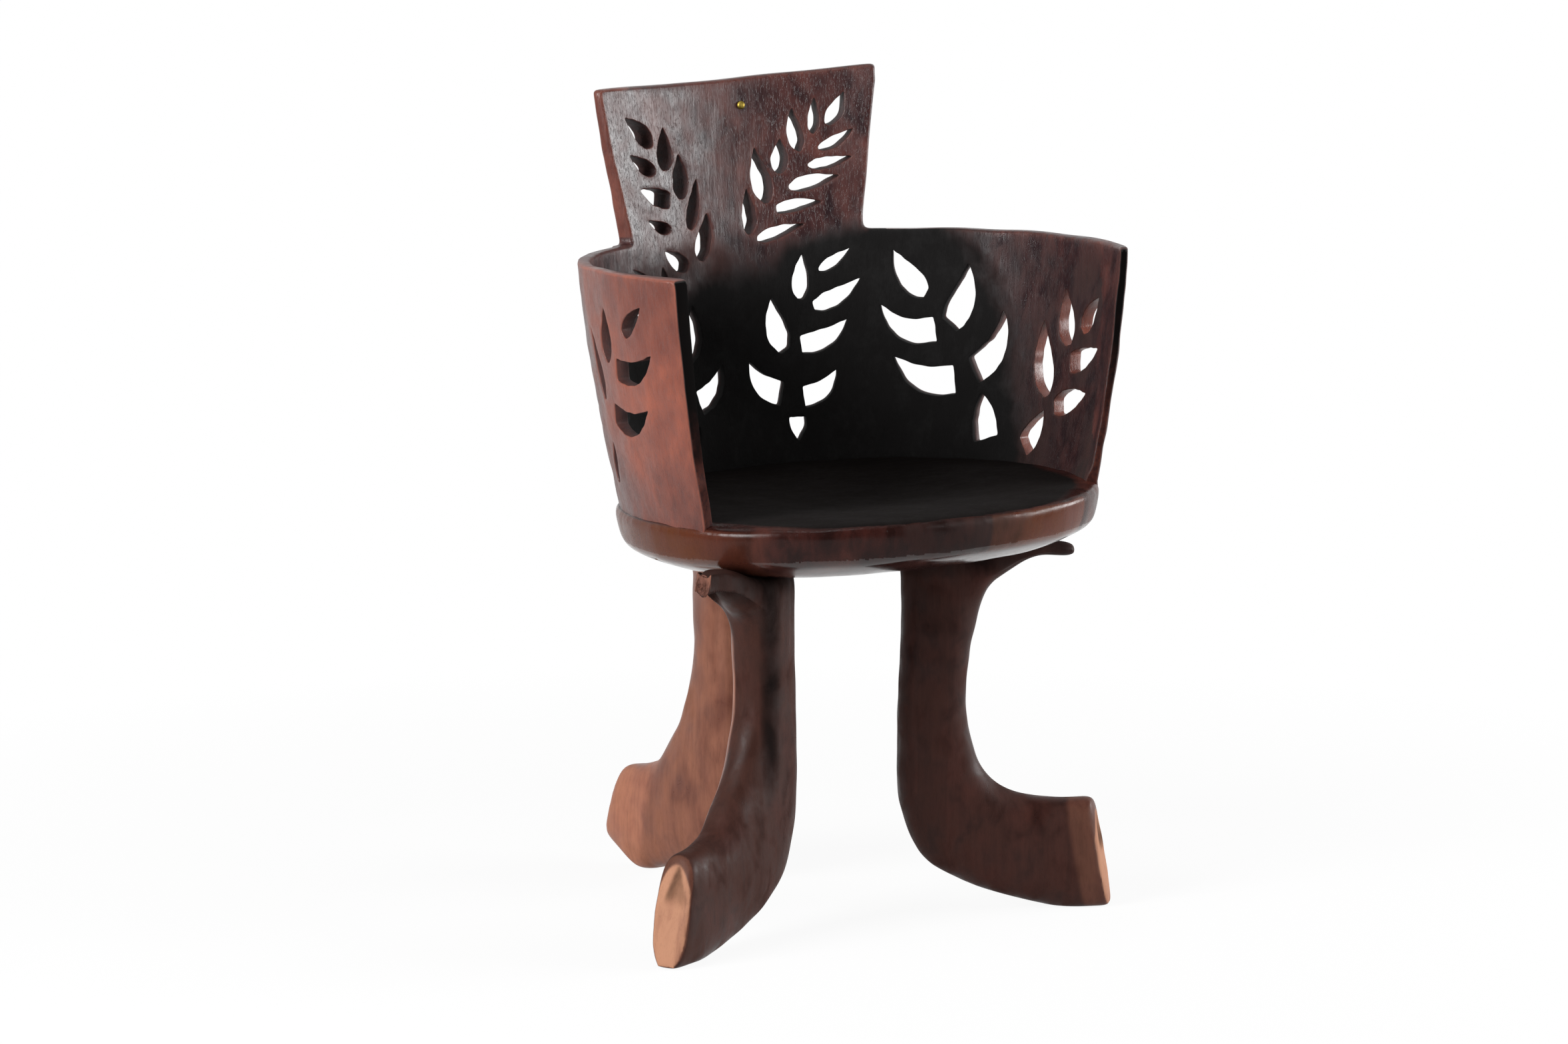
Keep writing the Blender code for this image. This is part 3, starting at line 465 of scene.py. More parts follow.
# The rim's left is paler and redder: partly a painted sheen, partly faded wood
RIM_LEFT_LIT_AND_FADED = 0.85
RIM_LIT_LEFT = (0.85, 1.2)
RIM_FINISH, DISH_FINISH, UNDERSIDE_FINISH = range(3)
SAPWOOD_MIDDLE = math.radians(30)
SAPWOOD_SPREAD = math.radians(19)
SAPWOOD_EDGE = 0.93
SAPWOOD_LEVEL = -0.018
SAPWOOD_HEIGHT = (-0.026, -0.020)
UNDERSIDE_SLOPE = -0.45


def to_seat(places):
    """Places in the leaning frame of the seat."""
    return (places - np.array(SEAT_MIDDLE)) @ np.array(SEAT_TURN)


def from_seat(places):
    """Places of the leaning seat's frame in the chair's frame."""
    return places @ np.array(SEAT_TURN).T + np.array(SEAT_MIDDLE)


# The groove is filled under the wall's foot before carving, so that no slit opens beside it
seat_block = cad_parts["seat"].data.copy()
turns = np.linspace(-WALL_SWEEP, WALL_SWEEP, TONGUE_STEPS)
tongue_inside, tongue_outside = WALL_RADIUS - WALL - TONGUE_PROUD, WALL_RADIUS + TONGUE_PROUD
tongue_bottom = -HOUSING_DEPTH - TONGUE_SUNK
foot_section = [(tongue_inside, tongue_bottom), (tongue_outside, tongue_bottom),
                (tongue_outside, 0.0), (tongue_inside, 0.0)]
tongue = [(radius * math.sin(turn), radius * math.cos(turn), height)
          for turn in turns for radius, height in foot_section]
tongue_faces = [(4 * k + i, 4 * k + (i + 1) % 4, 4 * k + 4 + (i + 1) % 4, 4 * k + 4 + i)
                for k in range(len(turns) - 1) for i in range(4)]
tongue_faces += [(3, 2, 1, 0), tuple(range(4 * len(turns) - 4, 4 * len(turns)))]
tongue_mesh = bpy.data.meshes.new("wall foot in the housing")
tongue_mesh.from_pydata(from_seat(np.array(tongue)).tolist(), [], tongue_faces)
whole = bmesh.new()
whole.from_mesh(seat_block)
whole.from_mesh(tongue_mesh)
whole.to_mesh(seat_block)
whole.free()
carved_seat = carve("carved_seat", seat_block, SEAT_GRAIN, SEAT_SCRAPING, SEAT_UNEVEN,
                    SEAT_UNEVEN_LENGTH, seed=7)
seat_places = to_seat(read(carved_seat.data, "co", 3))
seat_radius = np.hypot(seat_places[:, 0], seat_places[:, 1])
seat_turn = np.arctan2(seat_places[:, 0], -seat_places[:, 1])
seat_normals = read(carved_seat.data, "normal", 3)
dish_edge = DISH_RADIUS + DISH_EDGE * ramp(seat_places[:, 1], *DISH_BACK)
on_dish = ramp(dish_edge - seat_radius, 0.0, DISH_EDGE) * ramp(seat_normals[:, 2], *DISH_FACING)
# Painted shade on the front of the rim, carried in the soot mark
on_rim = ramp(seat_places[:, 2], *RIM_SHADE_LEVEL)
on_rim *= ramp(seat_turn, *RIM_SHADE_LEFT) * ramp(-seat_turn, *RIM_SHADE_RIGHT)
mark(carved_seat.data, "soot_and_shade", np.maximum(on_dish, RIM_FRONT_SHADE * on_rim))
off_top = ramp(-seat_normals[:, 2], *RIM_FACING)
sapwood = ramp(-np.abs(seat_turn - SAPWOOD_MIDDLE), -SAPWOOD_SPREAD, -SAPWOOD_EDGE * SAPWOOD_SPREAD)
sapwood *= ramp(-np.abs(seat_places[:, 2] - SAPWOOD_LEVEL), *SAPWOOD_HEIGHT) * off_top
# A painted sheen with faded wood on the rim's left
rim_left = ramp(-seat_turn, *RIM_LIT_LEFT) * off_top
mark(carved_seat.data, "faded_and_lit", np.maximum(sapwood, RIM_LEFT_LIT_AND_FADED * rim_left))
# The same hardwood with three finishes: the rim is polished by hands and shows warm sapwood, the dish is
# smoked black and nearly matt, and the underside, never rubbed, keeps smooth wax that mirrors the floor
seat_colours = {"shade": "#1d0d0b", "body": "#361915", "light": "#532b23", "worn": "#502a14",
                "soot_and_shade": "#0c0706", "cut": "#a97753"}
rim_wood = waxed_wood("polished rim of the seat", **seat_colours, rub=0.35, gloss=0.15, shine=0.14)
dish_wood = waxed_wood("smoked dish of the seat", **seat_colours, rub=0.35, gloss=0.21, shine=0.08)
underside_wood = waxed_wood("waxed underside of the seat", **seat_colours, rub=0.35, gloss=0.04,
                            shine=0.5, relief=0.0001)
carved_seat.data.materials.clear()
for wood_face in (rim_wood, dish_wood, underside_wood):
    carved_seat.data.materials.append(wood_face)
for face in carved_seat.data.polygons:
    if face.normal.z > 0:
        in_dish = on_dish[list(face.vertices)].max() > 0
        face.material_index = DISH_FINISH if in_dish else RIM_FINISH
    elif face.normal.z < UNDERSIDE_SLOPE:
        face.material_index = UNDERSIDE_FINISH
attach(carved_seat, "root")
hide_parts("seat")


# Pegs: five whittled pegs driven up through the seat into the foot of the wall. Only their ends show,
# under the seat, and they keep the shape of the solids.

# Whittled and driven in dry: the eye gets a matt mid-brown with fine upright streaks
peg_wood = waxed_wood("whittled peg wood", shade="#2c1a12", body="#553522", light="#6d4730",
                      worn="#86603f", soot_and_shade="#1a0f0b", cut="#6d4730", rub=0.3, gloss=0.42, shine=0.3)
for number in range(1, 6):
    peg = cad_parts[f"peg_{number}"]
    peg.data.materials.clear()
    peg.data.materials.append(peg_wood)


# Back: a wall 14 mm thick that flares round the seat and rises to a head panel, cut from one log and
# pierced with a knife. Its foot stands in the seat's groove; hands have worn its rim and left arm.
RIM_FLARE = 0.036
RIM_SHIFT = 0.004
WALL_BELLY = 0.004
ARM_HEIGHT = 0.246
HEAD_HEIGHT = 0.169
HEAD_LEAN = 0.018
RIM_RADIUS = WALL_RADIUS + RIM_FLARE
# Edges: radius, depth and length of the unevenness, passes that blunt the outline, and how the knife leaned
LEAF_EDGE = 0.0011
LEAF_UNEVEN = 0.0004
LEAF_UNEVEN_LENGTH = 0.016
LEAF_BLUNTING = 1
LEAF_SLANT = 0.004
LEAF_SLANT_SIDES = (0.002, 0.022)
LEAF_SLANT_FOOT = (-0.10, 0.08)
LEAF_SLANT_TOP = (-1.0, -0.90)
RIM_EDGE = 0.0032
RIM_UNEVEN = 0.0009
RIM_UNEVEN_LENGTH = 0.09
RIM_BLUNTING = 9
# Mesh: steps round an edge and along a cut, what counts as a corner, and how points fill the faces
EDGE_STEPS = 3
CUT_STEP = 0.0022
CUT_CORNER = math.radians(34)
CUT_MITRE = 0.62
FACE_STEP = 0.0052
FACE_ROW = 0.866 * FACE_STEP
FACE_CLEARANCE = 0.55 * FACE_STEP
FACE_FOUND = 0.0002
FACE_BATCH = 60
WELD_DIGITS = 5
MERGED = 1e-7
TINY = 1e-9
FACE_UNEVEN = 0.0006
FACE_UNEVEN_LENGTH = 0.070
TOOL_MARK = 0.00022
TOOL_MARK_LENGTH = 0.026
# The head panel: half its width at foot and top, how much thicker it is behind and at its left edge, how
# far that edge bows, and how much thinner the upper left corner is; pairs are shares of its height or metres
HEAD_FOOT_HALF = 0.151
HEAD_TOP_HALF = 0.176
HEAD_SWELL = 0.0075
HEAD_SWELL_SIDES = (0.004, 0.024)
HEAD_SWELL_TOP = (-0.98, -0.85)
HEAD_SWELL_FOOT = (-0.35, 0.0)
HEAD_FLANK = 0.004
HEAD_FLANK_REACH = (0.05, 0.12)
HEAD_FLANK_OUTSIDE = -0.02
HEAD_LEFT = -0.12
HEAD_BOW = 0.006
HEAD_BOW_TURN = 2.6
HEAD_BOW_FOOT = 0.01
HEAD_THINNING = 0.008
HEAD_THINNING_REACH = (-0.035, 0.0)
ARM_END_REACH = (0.45, 0.55)
ARM_END_FOOT = (0.0, 0.02)
LEFT_END_SWELL = 0.006
RIGHT_END_THIN = 0.005
# Wear: how far it reaches from a cut, and how strong it is on the faces and on the walls of the cuts
WEAR_REACH = 0.0025
WEAR_ON_FACE = 0.55
WEAR_ON_WALL = 0.5
# Smoke on the inner face, by degrees round the wall from the back and by height: one big cloud, held off
# the head panel but for its right edge, and a thin film all round below the rim
SMOKE_MIDDLE = 8
SMOKE_SPREAD = 80
SMOKE_TOP = 0.25
SMOKE_TOP_RISE = 0.17
SMOKE_TOP_TURN = (5, 35)
SMOKE_FRINGE = (-1.0, -0.62)
SMOKE_CEILING = (-0.268, -0.215)
SMOKE_CEILING_RISE = 0.05
SMOKE_CEILING_TURN = (31, 38)
SMOKE_FILM = 0.33
SMOKE_FILM_TOP = (-0.27, -0.20)
INNER_SHARE = 0.6
ARM_END_TURN = 111
ARM_END_FACING = (0.55, 0.85)
ARM_END_SOOT = 0.35
ARM_END_SOOT_RISE = 0.4
ARM_END_SOOT_LEVEL = (0.02, 0.18)
ARM_END_WHOLE = 0.9
# Faded wood: the left arm outside, paler upward with painted shade at its foot, more so in a patch and on its
# rim, which is worn and has a painted highlight, the head's left edge; and painted light on the cut walls of
# the right arm
LEFT_ARM_TURN = (60, 85)
LEFT_ARM_FADED = 0.36
LEFT_ARM_LIGHT_RISE = 0.25
LEFT_ARM_LIGHT_LEVEL = (0.02, 0.14)
PATCH_FADED = 0.25
PATCH_LEVEL = 0.115
PATCH_HEIGHT = (-0.11, -0.045)
PATCH_TURN = (82, 98)
RIM_WORN_AND_HIGHLIT = 0.95
HEAD_EDGE_FADED = 0.45
RIGHT_CUTS_LIT = 0.45
RIGHT_CUTS_TURN = (52, 72)


def wall_radius(height):
    """Outer radius of the wall at some heights over the seat."""
    share = np.clip(height / ARM_HEIGHT, 0, 1)
    above = np.clip(height - ARM_HEIGHT, 0, None)
    belly = 4 * WALL_BELLY * share * (1 - share)
    return WALL_RADIUS + RIM_FLARE * share + belly + HEAD_LEAN * above / HEAD_HEIGHT


def on_wall(sheet, depth):
    """Points of the unrolled wall, at a depth from its outer face, in the chair's frame."""
    turn = sheet[:, 0] / RIM_RADIUS
    radius = wall_radius(sheet[:, 1]) - depth
    shift = RIM_SHIFT * np.clip(sheet[:, 1], 0, None) / ARM_HEIGHT
    return from_seat(np.stack([radius * np.sin(turn) + shift, radius * np.cos(turn), sheet[:, 1]], 1))


def on_head(sheet):
    """Share of the head panel's height, and the distance in from its nearer side."""
    share = (sheet[:, 1] - ARM_HEIGHT) / HEAD_HEIGHT
    half_width = HEAD_FOOT_HALF + (HEAD_TOP_HALF - HEAD_FOOT_HALF) * share
    return share, half_width - np.abs(sheet[:, 0])


def swollen(sheet):
    """How far the outer face stands out: the head panel is thicker away from its edges."""
    share, from_side = on_head(sheet)
    middle = HEAD_SWELL * ramp(from_side, *HEAD_SWELL_SIDES) * ramp(-share, *HEAD_SWELL_TOP)
    flank = HEAD_FLANK * ramp(-sheet[:, 0], *HEAD_FLANK_REACH) * (from_side > HEAD_FLANK_OUTSIDE)
    return np.maximum(middle, flank) * ramp(share, *HEAD_SWELL_FOOT)


def filled(sheet):
    """How far the inner face stands in: the arms end thicker or thinner, the head thins to its corner."""
    left = sheet[:, 0] < 0
    at_end = ramp(np.abs(sheet[:, 0]), *ARM_END_REACH) * ramp(sheet[:, 1], *ARM_END_FOOT)
    end_swell = LEFT_END_SWELL * ramp(sheet[:, 1], 0.0, ARM_HEIGHT)
    share, from_side = on_head(sheet)
    corner = HEAD_THINNING * np.clip(share, 0, 1) * ramp(-from_side, *HEAD_THINNING_REACH) * left
    return at_end * np.where(left, end_swell, -RIGHT_END_THIN) - corner


def slanted(sheet):
    """Points of the inner face, moved aside where the knife leaned while it pierced the head panel."""
    share, from_side = on_head(sheet)
    lean = LEAF_SLANT * ramp(from_side, *LEAF_SLANT_SIDES)
    lean *= ramp(share, *LEAF_SLANT_FOOT) * ramp(-share, *LEAF_SLANT_TOP)
    return sheet + np.stack([lean, 0 * lean], 1)


def hewn(sheet, seed):
    """Unevenness of a hewn face: long hollows and short tool marks."""
    marks = TOOL_MARK * waves(sheet, TOOL_MARK_LENGTH, seed + 8)
    return FACE_UNEVEN * waves(sheet, FACE_UNEVEN_LENGTH, seed) + marks


def inside(points, loop):
    """Which points lie inside a closed loop."""
    result = np.zeros(len(points), bool)
    for start, end in zip(loop, np.roll(loop, -1, 0)):
        if start[1] != end[1]:
            beside = (start[1] > points[:, 1]) != (end[1] > points[:, 1])
            reach = start[0] + (points[:, 1] - start[1]) / (end[1] - start[1]) * (end[0] - start[0])
            result ^= beside & (points[:, 0] < reach)
    return result


def knife_cut(loop, uneven, length, blunting, seed):
    """A closed outline as a knife leaves it: smooth between its corners, with points close together."""
    before, after = loop - np.roll(loop, 1, 0), np.roll(loop, -1, 0) - loop
    before /= np.linalg.norm(before, axis=1)[:, None]
    run = np.linalg.norm(after, axis=1)[:, None]
    after /= run
    smooth = np.sum(before * after, axis=1)[:, None] > math.cos(CUT_CORNER)
    along = (before + after) / np.maximum(np.linalg.norm(before + after, axis=1)[:, None], TINY)
    leave, arrive = np.where(smooth, along, after), np.where(smooth, along, before)
    points = []
    for k in range(len(loop)):
        nxt = (k + 1) % len(loop)
        steps = max(1, round(run[k, 0] / CUT_STEP))
        for share in np.arange(steps) / steps:
            square, cube = share ** 2, share ** 3
            point = (2 * cube - 3 * square + 1) * loop[k] + (cube - 2 * square + share) * run[k] * leave[k]
            point += (3 * square - 2 * cube) * loop[nxt]
            point += (cube - square) * run[k] * arrive[nxt]
            points.append(point)
    points = np.array(points)
    for _ in range(blunting):
        points = 0.5 * points + 0.25 * (np.roll(points, 1, 0) + np.roll(points, -1, 0))
    return points + into_wood(points) * (uneven * waves(points, length, seed))[:, None]


def into_wood(loop):
    """Directions from an outline into the wood, which lies on its left."""
    before, after = loop - np.roll(loop, 1, 0), np.roll(loop, -1, 0) - loop
    before /= np.linalg.norm(before, axis=1)[:, None]
    after /= np.linalg.norm(after, axis=1)[:, None]
    middle = before + after
    middle /= np.maximum(np.linalg.norm(middle, axis=1)[:, None], TINY)
    widening = 1 / np.clip(np.sum(middle * after, axis=1), CUT_MITRE, 1)
    return np.stack([-middle[:, 1], middle[:, 0]], 1) * widening[:, None]


# The outline and the leaves are read from the solid's outer face and unrolled flat
wall_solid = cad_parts["back_shell"].data
wall_solid.calc_loop_triangles()
corners = np.empty(len(wall_solid.loop_triangles) * 3, np.int64)
wall_solid.loop_triangles.foreach_get("vertices", corners)
wall_places = to_seat(read(wall_solid, "co", 3))
_, kept, same = np.unique(np.round(wall_places, WELD_DIGITS), axis=0, return_index=True, return_inverse=True)
corners = same.ravel()[corners].reshape(-1, 3)
wall_places = wall_places[kept]
wall_places[:, 0] -= RIM_SHIFT * np.clip(wall_places[:, 2], 0, None) / ARM_HEIGHT
sheet = np.stack([np.arctan2(wall_places[:, 0], wall_places[:, 1]) * RIM_RADIUS, wall_places[:, 2]], 1)
depth = wall_radius(wall_places[:, 2]) - np.hypot(wall_places[:, 0], wall_places[:, 1])
outer_face = corners[(np.abs(depth[corners]) < FACE_FOUND).all(1)]
sides = {(a, b) for face in outer_face.tolist() for a, b in zip(face, face[1:] + face[:1])}
following = {a: b for a, b in sides if (b, a) not in sides}
loops = []
while following:
    loop = [next(iter(sorted(following)))]
    while loop[-1] in following:
        loop.append(following.pop(loop[-1]))
    loops.append(sheet[loop[:0:-1]])
loops.sort(key=len, reverse=True)
outline, leaves = loops[0], loops[1:]
head_share = (outline[:, 1] - ARM_HEIGHT) / HEAD_HEIGHT
on_flank = (outline[:, 0] < HEAD_LEFT) & (head_share > HEAD_BOW_FOOT)
outline[on_flank, 0] -= HEAD_BOW * np.clip(np.sin(HEAD_BOW_TURN * head_share[on_flank]), 0, 1)

# The flat sheet is cut out again with uneven edges and filled with even triangles
cuts = [knife_cut(outline, RIM_UNEVEN, RIM_UNEVEN_LENGTH, RIM_BLUNTING, seed=20)]
for number, leaf in enumerate(leaves):
    cuts.append(knife_cut(leaf, LEAF_UNEVEN, LEAF_UNEVEN_LENGTH, LEAF_BLUNTING, seed=21 + number))
edge_radius = [RIM_EDGE] + [LEAF_EDGE] * len(leaves)
insets = [cut + into_wood(cut) * radius for cut, radius in zip(cuts, edge_radius)]
columns = np.arange(-WALL_SWEEP * RIM_RADIUS, WALL_SWEEP * RIM_RADIUS, FACE_STEP)
rows = np.arange(-HOUSING_DEPTH, ARM_HEIGHT + HEAD_HEIGHT + FACE_STEP, FACE_ROW)
grid = np.array([(column + FACE_STEP / 2 * (k % 2), row) for k, row in enumerate(rows) for column in columns])
grid = grid[inside(grid, insets[0])]
for inset in insets[1:]:
    low, high = inset.min(0) - FACE_STEP, inset.max(0) + FACE_STEP
    near = ((grid > low) & (grid < high)).all(1)
    near[near] = inside(grid[near], inset)
    grid = grid[~near]
to_cut = np.full(len(grid), 1.0)
for inset in insets:
    for some in np.array_split(inset, max(1, len(inset) // FACE_BATCH)):
        apart = np.linalg.norm(grid[:, None] - some[None], axis=2).min(1)
        to_cut = np.minimum(to_cut, apart)
clear = to_cut > FACE_CLEARANCE
grid, to_cut = grid[clear], to_cut[clear]
flat = np.concatenate(insets + [grid])
firsts = np.cumsum([0] + [len(inset) for inset in insets])
constraints = [(first + k, first + (k + 1) % len(inset))
               for first, inset in zip(firsts, insets) for k in range(len(inset))]
flat_points = [Vector(point) for point in flat]
_, _, triangles, origins, _, _ = delaunay_2d_cdt(flat_points, constraints, [], 0, MERGED)
source = np.array([origin[0] for origin in origins])
triangles = source[np.array([face[:3] for face in triangles])]
middles = flat[triangles].mean(1)
wood = inside(middles, insets[0])
for inset in insets[1:]:
    low, high = inset.min(0), inset.max(0)
    near = ((middles > low) & (middles < high)).all(1)
    near[near] = inside(middles[near], inset)
    wood &= ~near
triangles = triangles[wood]

# Both faces are bent round the seat, and every cut gets a rounded edge on each face and a wall between
face_wear = np.concatenate([np.ones(firsts[-1]), np.exp(-to_cut / WEAR_REACH)])
rolls = [0.5 * math.pi * k / EDGE_STEPS for k in range(EDGE_STEPS + 1)]
count = len(flat)
places, wear, cut_wall, flank, faces = [], [], [], [], []
for outside in (True, False):
    dents = hewn(flat, seed=3 + outside)
    if outside:
        places.append(on_wall(flat, dents - swollen(flat)))
    else:
        places.append(on_wall(slanted(flat), WALL + filled(flat) - dents))
    wear.append(WEAR_ON_FACE * face_wear)
    cut_wall.append(np.zeros(count))
    flank.append(np.zeros(count))
faces += triangles.tolist()
faces += (triangles[:, ::-1] + count).tolist()
start = 2 * count
for first, cut, radius in zip(firsts, cuts, edge_radius):
    size = len(cut)
    toward = into_wood(cut)
    rings = [first + np.arange(size)]
    for outside in (True, False):
        for roll in (rolls[1:] if outside else rolls[:0:-1]):
            sunk = radius * (1 - math.cos(roll))
            ring = cut + toward * radius * (1 - math.sin(roll))
            dents = hewn(ring, seed=3 + outside) * (1 - roll / math.pi)
            if outside:
                places.append(on_wall(ring, sunk + dents - swollen(ring)))
            else:
                places.append(on_wall(slanted(ring), WALL + filled(ring) - sunk - dents))
            at_wall = roll == rolls[-1]
            wear.append(np.full(size, WEAR_ON_WALL if at_wall else 1.0))
            cut_wall.append(np.full(size, float(at_wall and radius == LEAF_EDGE)))
            flank.append(np.full(size, float(radius == RIM_EDGE)))
            rings.append(start + np.arange(size))
            start += size
    rings.append(count + first + np.arange(size))
    for ring, following_ring in zip(rings, rings[1:]):
        turned, turned_next = np.roll(ring, -1), np.roll(following_ring, -1)
        faces += np.stack([turned, ring, following_ring, turned_next], 1).tolist()
wall_mesh = bpy.data.meshes.new("carved_back")
wall_mesh.from_pydata(np.concatenate(places).tolist(), [], faces)
wall_mesh.validate()
mark(wall_mesh, "edge", np.concatenate(wear))
cut_wall, on_edge = np.concatenate(cut_wall), np.concatenate(flank)

# Marks for the material: open cuts in painted shade, the right arm's cuts in painted light, smoke, and faded
# wood
final = to_seat(read(wall_mesh, "co", 3))
heights = final[:, 2]
wall_turn = np.degrees(np.arctan2(final[:, 0], final[:, 1]))
# The right arm's cut walls are painted lit, and are kept out of the painted shade and the smoke
right_cuts = cut_wall * ramp(wall_turn, *RIGHT_CUTS_TURN)
mark(wall_mesh, "open", cut_wall - right_cuts)
inner_side = wall_radius(heights) - np.hypot(final[:, 0], final[:, 1]) > INNER_SHARE * WALL
smoke_top = SMOKE_TOP + SMOKE_TOP_RISE * ramp(wall_turn, *SMOKE_TOP_TURN)
smoke_reach = np.hypot((wall_turn - SMOKE_MIDDLE) / SMOKE_SPREAD, heights / smoke_top)
ceiling = SMOKE_CEILING_RISE * ramp(wall_turn, *SMOKE_CEILING_TURN)
smoke = ramp(-smoke_reach, *SMOKE_FRINGE) * ramp(ceiling - heights, *SMOKE_CEILING)
smoke = np.maximum(smoke, SMOKE_FILM * ramp(-heights, *SMOKE_FILM_TOP))
wall_normals = read(wall_mesh, "normal", 3)
turned = np.radians(wall_turn)
along_wall = np.stack([np.cos(turned), -np.sin(turned), 0 * turned], 1)
arm_end = ramp(np.abs(np.sum(wall_normals * along_wall, axis=1)), *ARM_END_FACING)
arm_end *= np.abs(wall_turn) > ARM_END_TURN
end_soot = ARM_END_SOOT + ARM_END_SOOT_RISE * ramp(heights, *ARM_END_SOOT_LEVEL)
mark(wall_mesh, "soot_and_shade", np.maximum(smoke * inner_side * (1 - right_cuts), arm_end * end_soot))
left_arm = ramp(-wall_turn, *LEFT_ARM_TURN) * ~inner_side * (1 - arm_end)
arm_patch = ramp(-np.abs(heights - PATCH_LEVEL), *PATCH_HEIGHT) * ramp(-wall_turn, *PATCH_TURN)
# The left arm is paler upward: painted shade toward its foot
arm_faded_and_lit = LEFT_ARM_FADED + LEFT_ARM_LIGHT_RISE * ramp(heights, *LEFT_ARM_LIGHT_LEVEL)
# The arm's rim is worn pale and also has a painted highlight
arm_faded_and_lit = np.maximum(arm_faded_and_lit + PATCH_FADED * arm_patch, RIM_WORN_AND_HIGHLIT * on_edge)
head_edge = (final[:, 0] < HEAD_LEFT) * (heights > ARM_HEIGHT + HEAD_BOW_FOOT) * on_edge
faded_and_lit = np.maximum(left_arm * arm_faded_and_lit, HEAD_EDGE_FADED * head_edge)
mark(wall_mesh, "faded_and_lit", np.maximum(faded_and_lit, RIGHT_CUTS_LIT * right_cuts))
wall_mesh.shade_smooth()
carved_back = bpy.data.objects.new("carved_back", wall_mesh)
bpy.context.scene.collection.objects.link(carved_back)
# Knife-cut hardwood rubbed with wax and oil from hands: red-brown with a satin shine broken by the hewn
# grain, black with smoke inside. The arms end in end grain, which drinks the wax and stays black and matt
back_colours = {"shade": "#231316", "body": "#442523", "light": "#62362f", "worn": "#904e3a",
                "soot_and_shade": "#060404", "cut": "#8a6a50"}
back_wood = waxed_wood("red-brown waxed back wood", **back_colours, rub=0.12, gloss=0.27, shine=0.35,
                       relief=0.0012)
end_wood = waxed_wood("smoked end grain of the arms", **back_colours, rub=0.35, gloss=0.40, shine=0.06)
wall_mesh.materials.append(back_wood)
wall_mesh.materials.append(end_wood)
for face in wall_mesh.polygons:
    face.material_index = int(arm_end[list(face.vertices)].min() > ARM_END_WHOLE)
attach(carved_back, "root")
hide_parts("back_shell")


# Brass tack: one small domed upholstery tack knocked into the head panel's face, dull with age. It
# keeps the shape of the solid.
TARNISH_SIZE = 0.002

# Sheet brass stamped to a dome and left to tarnish: a dull yellow glint with brown clouds about 2 mm across
tack_brass = bpy.data.materials.new("tarnished sheet brass")
tack_brass.use_nodes = True
brass_tree = tack_brass.node_tree
brass_shader = brass_tree.nodes["Principled BSDF"]
brass_place = add(brass_tree, "ShaderNodeTexCoord").outputs["Object"]
tarnish = add(brass_tree, "ShaderNodeTexNoise",
              {"Vector": brass_place, "Scale": 1 / TARNISH_SIZE, "Detail": 3.0}).outputs["Fac"]
brass_colour = add(brass_tree, "ShaderNodeMix",
                   {0: tarnish, 6: linear("#b9a04c"), 7: linear("#6d6026")}, data_type="RGBA")
brass_tree.links.new(brass_colour.outputs[2], brass_shader.inputs["Base Color"])
brass_rough = add(brass_tree, "ShaderNodeMapRange",
                  {"Value": tarnish, "To Min": 0.40, "To Max": 0.60})
brass_tree.links.new(brass_rough.outputs["Result"], brass_shader.inputs["Roughness"])
brass_shader.inputs["Metallic"].default_value = 1.0
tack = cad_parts["brass_tack"]
tack.data.materials.clear()
tack.data.materials.append(tack_brass)


# Studio: a pale floor that runs on behind the chair into a white backdrop, with a dim room in front. One
# large soft light stands at the left, one at the right that only the hollow of the back catches, and a
# weak one hangs above.
FLOOR_SIZE = 3.2
FLOOR_SUNK = 0.0003
FLOOR_NEAR = 0.7
FLOOR_FAR = 1.5
FLOOR_WHITE_NEAR = 0.92
FLOOR_WHITE_FAR = 1.0
SURROUND = 0.11
BACKDROP = (0.457, 0.889, 0.0)
BACKDROP_EDGE = 0.4
# Place and size in metres, and watts
LIGHTS = {
    "left softbox": ((-3.2, -1.0, 1.7), (1.4, 1.4), 165.0),
    "right softbox": ((2.7, -1.25, 1.05), (2.8, 0.8), 120.0),
    "overhead softbox": ((-0.4, -0.6, 3.4), (1.4, 1.4), 20.0),
}
LIGHTS_AIM = Vector((0.0, 0.0, 0.45))
floor_mesh = bpy.data.meshes.new("floor")
half = FLOOR_SIZE / 2
floor_corners = [(-half, -half, 0), (half, -half, 0), (half, half, 0), (-half, half, 0)]
floor_mesh.from_pydata(floor_corners, [], [(0, 1, 2, 3)])
floor = bpy.data.objects.new("floor", floor_mesh)
floor.location.z = -FLOOR_SUNK
bpy.context.scene.collection.objects.link(floor)
# Uncoated white paper: matt, with no shine. The camera sees more and more plain white away from the chair,
# and the shadows only near it
paper = bpy.data.materials.new("white paper floor")
paper.use_nodes = True
paper_tree = paper.node_tree
paper_shader = paper_tree.nodes["Principled BSDF"]
paper_shader.inputs["Base Color"].default_value = linear("#e4e4e4")
paper_shader.inputs["Roughness"].default_value = 0.9
paper_shader.inputs["Specular IOR Level"].default_value = 0.0
sight = add(paper_tree, "ShaderNodeLightPath").outputs
mirrored = add(paper_tree, "ShaderNodeMath",
               {0: sight["Is Glossy Ray"], 1: sight["Is Transmission Ray"]}, operation="MAXIMUM")
seen = add(paper_tree, "ShaderNodeMath",
           {0: sight["Is Camera Ray"], 1: mirrored.outputs[0]}, operation="MAXIMUM")
floor_place = add(paper_tree, "ShaderNodeTexCoord").outputs["Object"]
away = add(paper_tree, "ShaderNodeVectorMath", {0: floor_place}, operation="LENGTH")
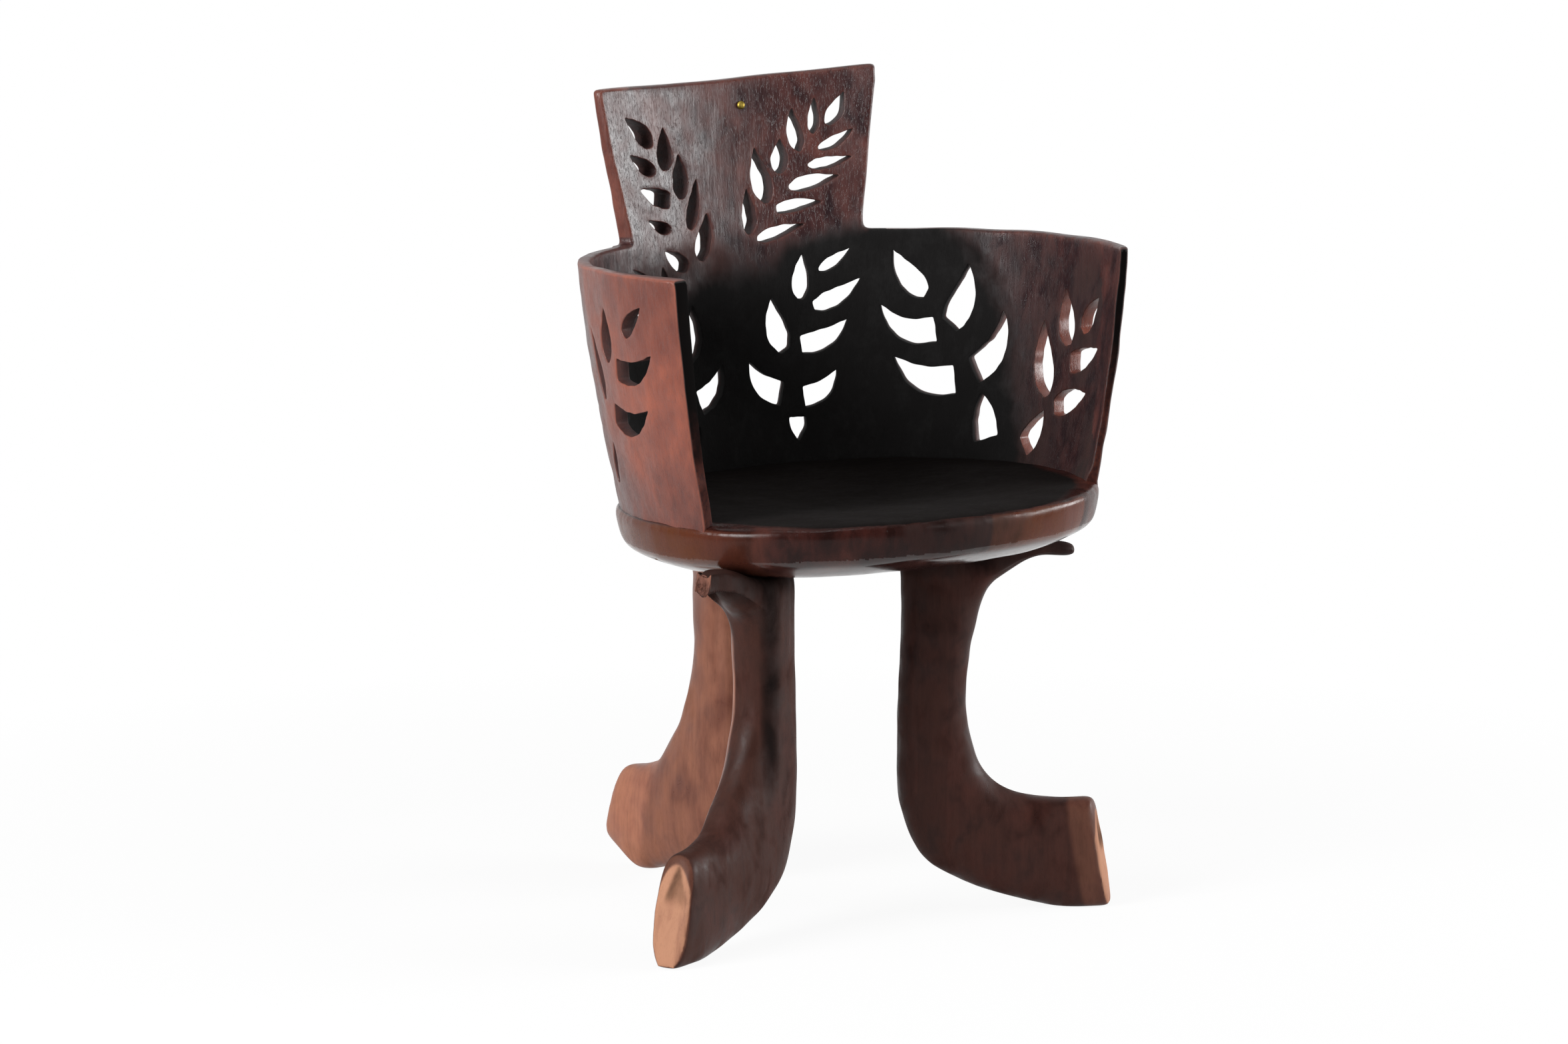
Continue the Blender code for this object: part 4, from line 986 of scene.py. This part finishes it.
whiter = add(paper_tree, "ShaderNodeMapRange",
             {"Value": away.outputs["Value"], "From Min": FLOOR_NEAR, "From Max": FLOOR_FAR,
              "To Min": FLOOR_WHITE_NEAR, "To Max": FLOOR_WHITE_FAR})
whiteness = add(paper_tree, "ShaderNodeMath",
                {0: seen.outputs[0], 1: whiter.outputs[0]}, operation="MULTIPLY")
plain = add(paper_tree, "ShaderNodeEmission", {"Color": linear("#ffffff"), "Strength": 1.0})
sheet_white = add(paper_tree, "ShaderNodeMixShader",
                  {0: whiteness.outputs[0], 1: paper_shader.outputs[0], 2: plain.outputs[0]})
paper_tree.links.new(sheet_white.outputs[0], paper_tree.nodes["Material Output"].inputs["Surface"])
floor_mesh.materials.append(paper)

# The camera sees white all round; gloss mirrors the white backdrop behind the chair and the dim room
world = bpy.data.worlds.new("white studio")
bpy.context.scene.world = world
world.use_nodes = True
air = world.node_tree
air.nodes.clear()
ray = add(air, "ShaderNodeLightPath").outputs
heading = add(air, "ShaderNodeTexCoord").outputs["Generated"]
behind = add(air, "ShaderNodeVectorMath", {0: heading, 1: BACKDROP}, operation="DOT_PRODUCT")
backdrop = add(air, "ShaderNodeMapRange",
               {"Value": behind.outputs["Value"], "From Min": 0.0, "From Max": BACKDROP_EDGE})
mirrored = add(air, "ShaderNodeMath",
               {0: ray["Is Glossy Ray"], 1: ray["Is Transmission Ray"]}, operation="MAXIMUM")
mirrored = add(air, "ShaderNodeMath",
               {0: mirrored.outputs[0], 1: backdrop.outputs[0]}, operation="MULTIPLY")
shown = add(air, "ShaderNodeMath",
            {0: ray["Is Camera Ray"], 1: mirrored.outputs[0]}, operation="MAXIMUM")
surround = add(air, "ShaderNodeBackground", {"Color": linear("#ffffff"), "Strength": SURROUND})
white = add(air, "ShaderNodeBackground", {"Color": linear("#ffffff"), "Strength": 1.0})
both = add(air, "ShaderNodeMixShader",
           {0: shown.outputs[0], 1: surround.outputs[0], 2: white.outputs[0]})
add(air, "ShaderNodeOutputWorld", {"Surface": both.outputs[0]})
for name, (place, (width, height), power) in LIGHTS.items():
    lamp = bpy.data.lights.new(name, "AREA")
    lamp.shape = "RECTANGLE"
    lamp.size = width
    lamp.size_y = height
    lamp.energy = power
    softbox = bpy.data.objects.new(name, lamp)
    softbox.location = place
    softbox.rotation_euler = (LIGHTS_AIM - Vector(place)).to_track_quat("-Z", "Y").to_euler()
    bpy.context.scene.collection.objects.link(softbox)


# Camera: where the photo's camera stood, to the left of the front and a little above the chair, with a
# long lens. Its place and lens were fitted to the chair's outline.
CAMERA_PLACE = Vector((-2.6142, -5.0218, 1.20))
CAMERA_LOOK = Vector((0.45268, 0.88064, -0.13983))
CAMERA_LENS = 126.13
CAMERA_FILM = 36.0
lens = bpy.data.cameras.new("photo camera")
lens.lens = CAMERA_LENS
lens.sensor_width = CAMERA_FILM
lens.sensor_fit = "HORIZONTAL"
lens.clip_end = 100.0
camera = bpy.data.objects.new("photo camera", lens)
camera.location = CAMERA_PLACE
camera.rotation_euler = CAMERA_LOOK.to_track_quat("-Z", "Y").to_euler()
bpy.context.scene.collection.objects.link(camera)
bpy.context.scene.camera = camera
bpy.context.scene.view_settings.view_transform = "Standard"
